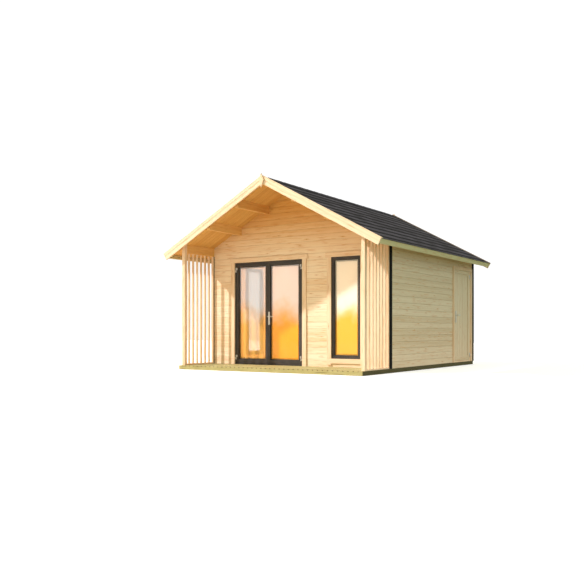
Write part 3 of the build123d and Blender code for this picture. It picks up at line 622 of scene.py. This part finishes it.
# %% [markdown]
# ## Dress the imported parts
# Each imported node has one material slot. Only what is in the slot changes: the node stays where it
# is, because the moving parts and the checks depend on it.

# %% Give each node its finish
DRESS = {
    "front logs": ["front_wall", "front_wall_infill", "front_gable", "rear_wall", "rear_gable"],
    "side logs": ["right_wall", "right_wall_infill"],
    "left logs": ["left_wall", "left_wall_infill"],
    "uprights": ["porch_posts"],
    "screens": ["left_screen", "right_screen"],
    "front casings": ["door_casings", "window_casings"],
    "side door": ["side_leaf"],
    "side casings": ["side_door_frame"],
    "barges": ["front_barges", "rear_barges"],
    "verge laths": ["verge_laths"],
    "finials": ["finials"],
    "roof boards": ["roof_boards_left", "roof_boards_right"],
    "purlins": ["purlins", "porch_headers"],
    "fascias": ["fascias"],
    "side bearers": ["base_side_bearers"],
    "cross bearers": ["base_cross_bearers"],
    "anthracite": ["door_frame", "window_frames", "left_leaf", "right_leaf"],
    "black": ["corner_strips"],
    "steel": [
        "door_hinges", "side_hinges", "left_leaf_fittings", "right_leaf_fittings", "door_levers",
        "side_leaf_fittings", "side_levers",
    ],
    "glass": ["right_leaf_glass"],
    "window glass": ["window_glass"],
    "clearer glass": ["left_leaf_glass"],
}

for finish_name, node_names in DRESS.items():
    for node_name in node_names:
        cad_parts[node_name].material_slots[0].material = finishes[finish_name]
print(sum(len(names) for names in DRESS.values()), "nodes have their finish")

# %% [markdown]
# ## How a piece is modelled
# A piece starts as a primitive of its size. In edit mode some of its faces or edges are picked out by where
# they are, and an operator works on what is picked, as it does by hand. What repeats is made once and
# copied. After that a piece needs its finish and the body that it moves with.

# %% Modelling helpers
def alone(piece):
    """Makes the piece the only one selected, and the active one."""
    bpy.ops.object.select_all(action="DESELECT")
    piece.select_set(True)
    bpy.context.view_layer.objects.active = piece


def start_block(name, low, high):
    """A block from its lowest to its highest corner."""
    bpy.ops.object.select_all(action="DESELECT")
    middle = (Vector(low) + Vector(high)) / 2
    bpy.ops.mesh.primitive_cube_add(size=1, location=middle, scale=Vector(high) - Vector(low))
    piece = bpy.context.object
    piece.name = name
    bpy.ops.object.transform_apply(location=True, rotation=True, scale=True)
    return piece


def choose(piece, kind, test):
    """Opens the piece in edit mode, with the parts picked whose middle passes the test."""
    alone(piece)
    bpy.ops.object.mode_set(mode="EDIT")
    bpy.ops.mesh.select_mode(type=kind)
    bpy.ops.mesh.select_all(action="DESELECT")
    bpy.ops.object.mode_set(mode="OBJECT")
    mesh = piece.data
    for part in {"VERT": mesh.vertices, "EDGE": mesh.edges, "FACE": mesh.polygons}[kind]:
        corners = [part.index] if kind == "VERT" else part.vertices
        part.select = test(sum((mesh.vertices[c].co for c in corners), Vector()) / len(corners))
    bpy.ops.object.mode_set(mode="EDIT")


def close_edit():
    bpy.ops.object.mode_set(mode="OBJECT")


def repeat(piece, places):
    """Copies the piece to each place, a matrix, joins the copies and deletes the piece itself."""
    copies = []
    for place in places:
        twin = piece.copy()
        twin.data = piece.data.copy()
        twin.matrix_world = place
        bpy.context.scene.collection.objects.link(twin)
        copies.append(twin)
    alone(piece)
    for twin in copies:
        twin.select_set(True)
    bpy.context.view_layer.objects.active = copies[0]
    name = piece.name
    bpy.data.objects.remove(piece)
    bpy.ops.object.join()
    joined = bpy.context.object
    joined.name = name
    bpy.ops.object.transform_apply(location=True, rotation=True, scale=True)
    return joined


def finish_piece(piece, finish_name, body, slot, *replaced):
    """Gives the piece its finish and its body. The slot is not used."""
    piece.data.materials.clear()
    piece.data.materials.append(finishes[finish_name])
    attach(piece, body)
    if replaced:
        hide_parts(*replaced)
    print(piece.name, len(piece.data.polygons), "faces")


# %% [markdown]
# ## Porch deck and floor
# The deck is laid from the front to the wall, in boards with rounded edges and a gap for rain
# between them. One board is a block whose upper edges are bevelled. The room's floor has the same
# make, with its boards pushed together.

# %% Deck and floor boards
DECK_GAP, DECK_ROUNDING = 0.005, 0.003
FLOOR_GAP, FLOOR_ROUNDING = 0.0006, 0.0015
FLOOR_BOARDS = 34
FLOOR_CELL, FLOOR_START = 0.11, -1.87


def lay_boards(name, node, count, gap, rounding):
    """Boards side by side from left to right, in the place of a plain slab."""
    low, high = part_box(node)
    pitch = (high.x - low.x) / count
    left, right = low.x + gap / 2, low.x + pitch - gap / 2
    first = start_block(name, (left, low.y, low.z), (right, high.y, high.z))
    choose(first, "EDGE", lambda middle: middle.z > high.z - 0.001)
    bpy.ops.mesh.bevel(offset=rounding, segments=2, affect="EDGES")
    close_edit()
    return repeat(first, [Matrix.Translation((n * pitch, 0, 0)) for n in range(count)])


deck = lay_boards("deck_boards", "porch_deck", DECK_BOARDS, DECK_GAP, DECK_ROUNDING)
finish_piece(deck, "deck", "house", "base_timber", "porch_deck")
finishes["floor"] = timber("pine_floor", ALONG_Y, ALONG_X, FLOOR_CELL, FLOOR_START, joint=0.4, **ORANGE)
room_floor = lay_boards("floor_boards", "floor", FLOOR_BOARDS, FLOOR_GAP, FLOOR_ROUNDING)
finish_piece(room_floor, "floor", "house", "pine", "floor")

# %% [markdown]
# ## Shingles
# The roof is covered with strips of mineral-faced felt. Each strip is a metre long and cut into three tabs,
# laid so that it laps the strip below and its cuts fall on the middle of the tabs there. A plain half strip
# starts the roof at the eave. Each course is painted lighter in its middle and dark at the lap above and
# the butt below, where shade falls, which is why such a roof looks striped from afar. The sheet of underlay
# beneath them all closes the roof where the cuts are.

# %% Felt
COURSE = 0.250
STARTER = 0.125
LAP = 0.020
TAB = 1 / 3
FELT = 0.003
UNDERLAY = 0.001
ROOF_BOARD = 0.019
COVERING_TOP = 0.026
CAP_TOP = 0.029
FELT_RELIEF = 0.0010

_, covering_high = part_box("roof_covering_right")
_, cap_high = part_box("ridge_cap")
SOFFIT = cap_high.z - CAP_TOP / LEAN
EDGE_DOWN = (covering_high.x - COVERING_TOP * SINE) / LEAN
FIRST_BUTT = EDGE_DOWN - STARTER


def felt(name):
    """Mineral grains on felt, with a tone drawn by lot for each tab and painted shade at each course's lap
    and butt.
    """
    finish = Finish(name)
    place = finish.place()
    down = finish.reach(finish.mirrored(place), DOWN_SLOPE) + SINE * SOFFIT
    run = finish.reach(place, ALONG_Y)
    steps = (down - FIRST_BUTT) / COURSE
    course = steps.floor()
    within = steps - course
    shift = (course / 2 - (course / 2).floor()) * TAB
    tab = ((run + shift) / TAB).floor()
    light, _, _ = finish.lot(tab, course, finish.reach(place, ALONG_X) > 0)
    grains = finish.noise(place, 700.0, 2.0, 0.7)
    stains = finish.noise(finish.point(run * 1.3, down * 5.0, 0.0), 1.0, 4.0)
    # Painted light and shade: lighter in the middle of a course, dark at the lap above and the butt below,
    # where shade falls.
    painted_course_light = within.ramp(0.04, 0.40) * within.ramp(0.66, 0.97, 1.0, 0.0)
    shade = painted_course_light * (light * 0.7 + 0.45) + (stains - 0.5) * 0.35 + (grains - 0.5) * 0.5
    colour = finish.mix(shade, tone(7, 6, 9), tone(71, 68, 74))
    finish.set(Base_Color=colour, Roughness=grains * 0.15 + 0.84)
    finish.set(Specular_IOR_Level=0.12)
    finish.bump(grains, FELT_RELIEF)
    return finish.material


finishes["felt"] = felt("mineral_felt")
print("the lowest butts lie", round(FIRST_BUTT, 3), "m down the slope from the ridge")

# %% [markdown]
# One strip starts as a flat plane: bisect marks out the cuts, their faces are deleted, and Solidify
# gives the felt its thickness. Then each strip goes to its place on the slope, tilted a little,
# because its lower edge lies on the strip below.

# %% One strip of shingles
CUT_HALF = 0.0025
IN_CUT = 0.007


def bisect_all(piece, plane_place, plane_normal):
    """Cuts every face along a plane."""
    choose(piece, "FACE", lambda middle: True)
    bpy.ops.mesh.bisect(plane_co=plane_place, plane_no=plane_normal)
    close_edit()


def felt_strip(depth, cut):
    """A strip drawn flat: x runs down the slope from the upper edge, y along the roof."""
    bpy.ops.object.select_all(action="DESELECT")
    bpy.ops.mesh.primitive_plane_add(size=1, location=(depth / 2, 0.5, 0))
    strip = bpy.context.object
    strip.name = "felt_strip"
    strip.scale = (depth, 1, 1)
    bpy.ops.object.transform_apply(location=True, rotation=True, scale=True)
    if cut:
        cut_start = depth - STARTER
        bisect_all(strip, (cut_start, 0, 0), (1, 0, 0))
        for tab_number in range(3):
            for side in (-1, 1):
                y = (tab_number + 0.5) * TAB + side * CUT_HALF
                bisect_all(strip, (0, y, 0), (0, 1, 0))
        choose(
            strip, "FACE", lambda middle: middle.x > cut_start and abs(middle.y / TAB % 1 - 0.5) < IN_CUT
        )
        bpy.ops.mesh.delete(type="FACE")
        close_edit()
    thickness = strip.modifiers.new("thickness", "SOLIDIFY")
    thickness.thickness = FELT
    thickness.offset = 1.0
    alone(strip)
    bpy.ops.object.modifier_apply(modifier="thickness")
    return strip


# %% [markdown]
# A place on the roof is easiest to give as a carpenter would: so far down the slope, so far off the
# boards, so far along. The courses go up from the eave to the ridge, and every second one starts
# half a tab earlier. What sticks out is cut off with bisect, at both verges and at the ridge.

# %% Both slopes
STRIP_LENGTH = 1.0
HAIR = 0.0003
RIDGE_HALF = 0.0012
UNDERLAY_SHORT = 0.002


def on_slope(down, out, y, side):
    """A place on the right slope (1) or the left (-1), given down it, off it and along it."""
    return Vector((side * (down * LEAN + out * SINE), y, SOFFIT - down * SINE + out * LEAN))


def strip_places(edge, depth, start, side):
    """Where the strips of one course go, from verge to verge."""
    tilt = math.asin((FELT + HAIR) / depth)
    rise = ROOF_BOARD + UNDERLAY + HAIR
    turn = Matrix.Rotation(side * (ROOF_PITCH - tilt), 4, "Y") @ Matrix.Diagonal((side, 1, 1, 1))
    places = []
    y = start
    while y < covering_high.y:
        places.append(Matrix.Translation(on_slope(edge - depth, rise, y, side)) @ turn)
        y += STRIP_LENGTH
    return places


def underlay(side):
    """A thin sheet on the boards, which closes the roof under the cuts."""
    verge, eave = covering_high.y, EDGE_DOWN - UNDERLAY_SHORT
    sheet = start_block("underlay", (0, -verge, 0), (eave, verge, UNDERLAY))
    turn = Matrix.Rotation(side * ROOF_PITCH, 4, "Y") @ Matrix.Diagonal((side, 1, 1, 1))
    sheet.matrix_world = Matrix.Translation(on_slope(0, ROOF_BOARD, 0, side)) @ turn
    alone(sheet)
    bpy.ops.object.transform_apply(location=True, rotation=True, scale=True)
    return sheet


def lay_felt(name, side, node):
    """Covers one slope, course by course, and trims the strips at the verges and the ridge."""
    verge = covering_high.y
    starter_places = strip_places(EDGE_DOWN, STARTER + LAP, -verge, side)
    starter = repeat(felt_strip(STARTER + LAP, False), starter_places)
    places = []
    edge = FIRST_BUTT
    shift = 0.0
    while edge > 0:
        places += strip_places(edge, COURSE + LAP, -verge - shift, side)
        edge -= COURSE
        shift = TAB / 2 - shift
    covering = repeat(felt_strip(COURSE + LAP, True), places)
    sheet = underlay(side)
    alone(covering)
    starter.select_set(True)
    sheet.select_set(True)
    bpy.ops.object.join()
    covering.name = name
    bpy.ops.object.mode_set(mode="EDIT")
    trims = (
        ((0, -verge, 0), (0, -1, 0)),
        ((0, verge, 0), (0, 1, 0)),
        ((side * RIDGE_HALF, 0, 0), (-side, 0, 0)),
    )
    for plane_place, plane_normal in trims:
        bpy.ops.mesh.select_all(action="SELECT")
        bpy.ops.mesh.bisect(plane_co=plane_place, plane_no=plane_normal, clear_outer=True, use_fill=True)
    bpy.ops.mesh.select_all(action="SELECT")
    bpy.ops.mesh.normals_make_consistent(inside=False)
    close_edit()
    finish_piece(covering, "felt", "house", "felt", node)


lay_felt("shingles_right", 1, "roof_covering_right")
lay_felt("shingles_left", -1, "roof_covering_left")

# %% [markdown]
# ## Ridge tiles
# The ridge is closed with short pieces of the same felt, bent over it. Each one laps the next, and
# the first starts a little behind the bargeboards. A tile is a plane folded along its middle, with
# the fold rounded because felt can't be creased.

# %% Ridge tiles
TILE_LENGTH = 0.333
TILE_EXPOSURE = 0.25
TILE_START = 2.44
FOLD_ROUNDING = 0.014


def ridge_tile():
    """One tile, its fold at z = 0 and its front edge at y = 0."""
    half = cap_high.x
    bpy.ops.object.select_all(action="DESELECT")
    bpy.ops.mesh.primitive_plane_add(size=1, location=(0, TILE_LENGTH / 2, 0))
    tile = bpy.context.object
    tile.name = "ridge_tiles"
    tile.scale = (2 * half, TILE_LENGTH, 1)
    bpy.ops.object.transform_apply(location=True, rotation=True, scale=True)
    bisect_all(tile, (0, 0, 0), (1, 0, 0))
    choose(tile, "VERT", lambda middle: abs(middle.x) > half / 2)
    bpy.ops.transform.translate(value=(0, 0, -half * math.tan(ROOF_PITCH)))
    close_edit()
    choose(tile, "EDGE", lambda middle: abs(middle.x) < half / 4)
    bpy.ops.mesh.bevel(offset=FOLD_ROUNDING, segments=3, affect="EDGES")
    close_edit()
    thickness = tile.modifiers.new("thickness", "SOLIDIFY")
    thickness.thickness = FELT
    thickness.offset = 1.0
    alone(tile)
    bpy.ops.object.modifier_apply(modifier="thickness")
    return tile


tile_count = round((2 * TILE_START - TILE_LENGTH) / TILE_EXPOSURE) + 1
tile_pitch = (2 * TILE_START - TILE_LENGTH) / (tile_count - 1)
tile_tilt = Matrix.Rotation(-math.asin((FELT + HAIR) / tile_pitch), 4, "X")
tile_height = SOFFIT + (COVERING_TOP + UNDERLAY + FELT) / LEAN
tile_places = [
    Matrix.Translation((0, -TILE_START + n * tile_pitch, tile_height)) @ tile_tilt
    for n in range(tile_count)
]
finish_piece(repeat(ridge_tile(), tile_places), "felt", "house", "felt", "ridge_cap")

# %% [markdown]
# ## Gaskets round the panes
# Each pane is held between rubber gaskets, which show as a thin black line inside the frame. A
# gasket is drawn as a flat plane the size of the opening, inset by its width. The middle is deleted,
# and Solidify and Bevel give the ring its section. It is modelled once for each pane and face.

# %% Gaskets
GASKET_WIDTH = 0.005
GASKET_DEPTH = 0.003
GASKET_ROUNDING = 0.0008
BEAD_WIDTH = 0.012


def stood_up(facing):
    """The turn that stands a flat ring up, looking to the front (-1) or to the rear (1)."""
    return Matrix(((1, 0, 0, 0), (0, 0, facing, 0), (0, 1, 0, 0), (0, 0, 0, 1)))


def gasket(x_low, x_high, z_low, z_high, y, facing):
    """A ring on the face of a pane that looks along y, to the front (-1) or to the rear (1)."""
    bpy.ops.object.select_all(action="DESELECT")
    middle = ((x_low + x_high) / 2, (z_low + z_high) / 2, 0)
    bpy.ops.mesh.primitive_plane_add(size=1, location=middle)
    ring = bpy.context.object
    ring.scale = (x_high - x_low, z_high - z_low, 1)
    bpy.ops.object.transform_apply(location=True, rotation=True, scale=True)
    choose(ring, "FACE", lambda middle: True)
    bpy.ops.mesh.inset(thickness=GASKET_WIDTH)
    bpy.ops.mesh.delete(type="FACE")
    close_edit()
    for name, kind in (("section", "SOLIDIFY"), ("rounding", "BEVEL")):
        ring.modifiers.new(name, kind)
    ring.modifiers["section"].thickness = GASKET_DEPTH
    ring.modifiers["section"].offset = 1.0
    ring.modifiers["rounding"].width = GASKET_ROUNDING
    alone(ring)
    for name in ("section", "rounding"):
        bpy.ops.object.modifier_apply(modifier=name)
    ring.matrix_world = Matrix.Translation((0, y, 0)) @ stood_up(facing)
    bpy.ops.object.transform_apply(location=True, rotation=True, scale=True)
    return ring


def gaskets_round(low, high):
    """Both rings of a pane: the outer one inside the glazing bead, the inner one inside the frame."""
    bead = BEAD_WIDTH
    outer = gasket(low.x + bead, high.x - bead, low.z + bead, high.z - bead, low.y, -1)
    inner = gasket(low.x, high.x, low.z, high.z, high.y, 1)
    return [outer, inner]


def join(name, pieces):
    """Joins pieces into one mesh, with its faces turned outwards."""
    alone(pieces[0])
    for piece in pieces:
        piece.select_set(True)
    bpy.ops.object.join()
    joined = bpy.context.object
    joined.name = name
    choose(joined, "FACE", lambda middle: True)
    bpy.ops.mesh.select_all(action="SELECT")
    bpy.ops.mesh.normals_make_consistent(inside=False)
    close_edit()
    return joined


for side_name in ("left", "right"):
    pane_low, pane_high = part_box(f"{side_name}_leaf_glass")
    rings = join(f"{side_name}_leaf_gaskets", gaskets_round(pane_low, pane_high))
    finish_piece(rings, "rubber", f"{side_name}_leaf", "black_strip")

# %% [markdown]
# The two tall windows are one node, so their panes are told apart by the width of a pane. The left
# wall's window is the front one turned a quarter, and so are its gaskets.

# %% Window gaskets
PANE_WIDTH = 0.458
QUARTER_TURN = Matrix(((0, 1, 0, 0), (-1, 0, 0, 0), (0, 0, 1, 0), (0, 0, 0, 1)))

both_low, both_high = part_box("window_glass")
pane_thickness = pane_high.y - pane_low.y
front_low = Vector((both_high.x - PANE_WIDTH, both_low.y, both_low.z))
front_high = Vector((both_high.x, both_low.y + pane_thickness, both_high.z))
rings = gaskets_round(front_low, front_high)
turned_rings = gaskets_round(front_low, front_high)
to_left_wall = Matrix.Translation((both_low.x, both_high.y - PANE_WIDTH, 0)) @ QUARTER_TURN
for ring in turned_rings:
    alone(ring)
    ring.matrix_world = to_left_wall @ Matrix.Translation((-front_high.x, -front_low.y, 0))
    bpy.ops.object.transform_apply(location=True, rotation=True, scale=True)
finish_piece(join("window_gaskets", rings + turned_rings), "rubber", "house", "black_strip")

# %% [markdown]
# ## Screws
# Two screws hold each deck board on each joist, and others hold the bargeboards and the casings. One
# screw is a low eight-sided head with a recess for the bit. It stands on z = 0 and looks up.

# %% Screws
HEAD_HEIGHT = 0.0008
DECK_SCREW, BARGE_SCREW, CASING_SCREW = 0.0045, 0.004, 0.003
JOISTS = 4
FIRST_JOIST, JOISTS_SHORT = 0.035, 0.065
FROM_MIDDLE = 0.27
BARGE_DOWN = (0.22, 0.68, 1.42, 1.95, 2.48)
BARGE_OUT = (-0.066, 0.0)
CASING_X = (-1.4165, 0.2225, 0.749, 1.425)
CASING_Z = (0.33, 0.79, 1.25, 1.71)


def screw_head(name, radius):
    """A countersunk head with its recess, a fraction of a millimetre proud."""
    bpy.ops.object.select_all(action="DESELECT")
    bpy.ops.mesh.primitive_cylinder_add(vertices=8, radius=radius, depth=2 * HEAD_HEIGHT)
    head = bpy.context.object
    head.name = name
    choose(head, "FACE", lambda middle: middle.z > HEAD_HEIGHT / 2)
    bpy.ops.mesh.inset(thickness=radius * 0.15, depth=HEAD_HEIGHT / 4)
    bpy.ops.mesh.inset(thickness=radius * 0.40)
    bpy.ops.mesh.extrude_region_move(TRANSFORM_OT_translate={"value": (0, 0, -HEAD_HEIGHT)})
    close_edit()
    return head


joist_pitch = (deck_high.y - deck_low.y - JOISTS_SHORT) / (JOISTS - 1)
joist_rows = [deck_low.y + FIRST_JOIST + n * joist_pitch for n in range(JOISTS)]
deck_places = [
    Matrix.Translation((DECK_START + (n + 0.5 + side * FROM_MIDDLE) * DECK_PITCH, y, deck_high.z))
    for n in range(DECK_BOARDS) for side in (-1, 1) for y in joist_rows
]
deck_screws = repeat(screw_head("deck_screws", DECK_SCREW), deck_places)
finish_piece(deck_screws, "steel", "house", "satin_steel")

facing_front = Matrix.Rotation(math.radians(90), 4, "X")
facing_rear = Matrix.Rotation(math.radians(-90), 4, "X")
barge_low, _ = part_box("front_barges")
_, rear_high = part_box("rear_barges")
barge_places = [
    Matrix.Translation(on_slope(down, out, y, side)) @ facing
    for y, facing in ((barge_low.y, facing_front), (rear_high.y, facing_rear))
    for side in (-1, 1) for down in BARGE_DOWN for out in BARGE_OUT
]
barge_screws = repeat(screw_head("barge_screws", BARGE_SCREW), barge_places)
finish_piece(barge_screws, "steel", "house", "satin_steel")

casing_low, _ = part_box("door_casings")
casing_places = [
    Matrix.Translation((x, casing_low.y, z)) @ facing_front for x in CASING_X for z in CASING_Z
]
casing_screws = repeat(screw_head("casing_screws", CASING_SCREW), casing_places)
finish_piece(casing_screws, "steel", "house", "satin_steel")

# %% [markdown]
# ## Lock cylinders
# Under each lever a lock cylinder stands a little out of the handle plate, on both faces of the
# door. A cylinder is bevelled at its rim, and its end is inset, narrowed to a slot and pushed in to
# make the keyhole.

# %% Lock cylinders
CYLINDER_RADIUS = 0.0085
CYLINDER_PROUD = 0.003
BELOW_LEVER = 0.072
PLATE = 0.009
RIM = 0.0007
KEYHOLE_INSET, KEYHOLE_NARROWING, KEYHOLE_DEPTH = 0.0035, 0.22, 0.0015
FRONT_LOCK_X = -0.5645
SIDE_LOCK_Y = 1.4845


def lock_cylinder():
    """One cylinder that stands on z = 0 and looks up."""
    bpy.ops.object.select_all(action="DESELECT")
    bpy.ops.mesh.primitive_cylinder_add(vertices=20, radius=CYLINDER_RADIUS, depth=2 * CYLINDER_PROUD)
    cylinder = bpy.context.object
    cylinder.name = "lock_cylinder"
    choose(cylinder, "EDGE", lambda middle: middle.z > CYLINDER_PROUD * 0.9)
    bpy.ops.mesh.bevel(offset=RIM, segments=2, affect="EDGES")
    close_edit()
    choose(cylinder, "FACE", lambda middle: middle.z > CYLINDER_PROUD * 0.999)
    bpy.ops.mesh.inset(thickness=KEYHOLE_INSET)
    bpy.ops.transform.resize(value=(KEYHOLE_NARROWING, 1, 1), center_override=(0, 0, CYLINDER_PROUD))
    bpy.ops.mesh.extrude_region_move(TRANSFORM_OT_translate={"value": (0, 0, -KEYHOLE_DEPTH)})
    close_edit()
    return cylinder


def fit_locks(name, body, places):
    """One cylinder at each place, as one piece that moves with its leaf."""
    lock = repeat(lock_cylinder(), places)
    lock.name = name
    finish_piece(lock, "steel", body, "satin_steel")


lever_low, lever_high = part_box("door_levers")
leaf_low, leaf_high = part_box("right_leaf")
lock_z = (lever_low.z + lever_high.z) / 2 - BELOW_LEVER
fit_locks("right_leaf_lock", "right_leaf", [
    Matrix.Translation((FRONT_LOCK_X, leaf_low.y - PLATE, lock_z)) @ facing_front,
    Matrix.Translation((FRONT_LOCK_X, leaf_high.y + PLATE, lock_z)) @ facing_rear,
])

facing_right = Matrix.Rotation(math.radians(90), 4, "Y")
facing_left = Matrix.Rotation(math.radians(-90), 4, "Y")
lever_low, lever_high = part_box("side_levers")
leaf_low, leaf_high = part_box("side_leaf")
lock_z = (lever_low.z + lever_high.z) / 2 - BELOW_LEVER
fit_locks("side_leaf_lock", "side_leaf", [
    Matrix.Translation((leaf_high.x + PLATE, SIDE_LOCK_Y, lock_z)) @ facing_right,
    Matrix.Translation((leaf_low.x - PLATE, SIDE_LOCK_Y, lock_z)) @ facing_left,
])

# %% [markdown]
# ## The floor of the studio
# A plain sheet, large enough to run out of the picture. To the camera it is pale and glows a little,
# so it runs into the studio's white without an edge. The light that bounces off it on to the cabin
# is warm in front and a dark green on the right, which tints the eaves and the shaded wall there.

# %% Studio floor
FLOOR_SIZE = 60
FLOOR_DROP = 0.001
SHEET_COLOUR = (0.78, 0.77, 0.75, 1.0)
WARM_BOUNCE = (0.80, 0.72, 0.58, 1.0)
DARK_BOUNCE = (0.16, 0.22, 0.11, 1.0)
NO_GLOW, SHEET_GLOW = (0.0, 0.0, 0.0, 1.0), (0.5, 0.5, 0.5, 1.0)

bpy.ops.object.select_all(action="DESELECT")
bpy.ops.mesh.primitive_plane_add(size=FLOOR_SIZE, location=(0, 0, -FLOOR_DROP))
studio_floor = bpy.context.object
studio_floor.name = "studio_floor"
paper = Finish("studio_paper")
straight = paper.node("ShaderNodeLightPath", output="Is Camera Ray")
to_side = paper.reach(paper.place(), ALONG_X).ramp(1.9, 3.6)
bounce = paper.mix(to_side, WARM_BOUNCE, DARK_BOUNCE)
paper.set(Base_Color=paper.mix(straight, bounce, SHEET_COLOUR), Roughness=0.9)
paper.set(Emission_Color=paper.mix(straight, NO_GLOW, SHEET_GLOW), Emission_Strength=1.0)
studio_floor.data.materials.append(paper.material)
print("the sheet is", FLOOR_SIZE, "m wide")
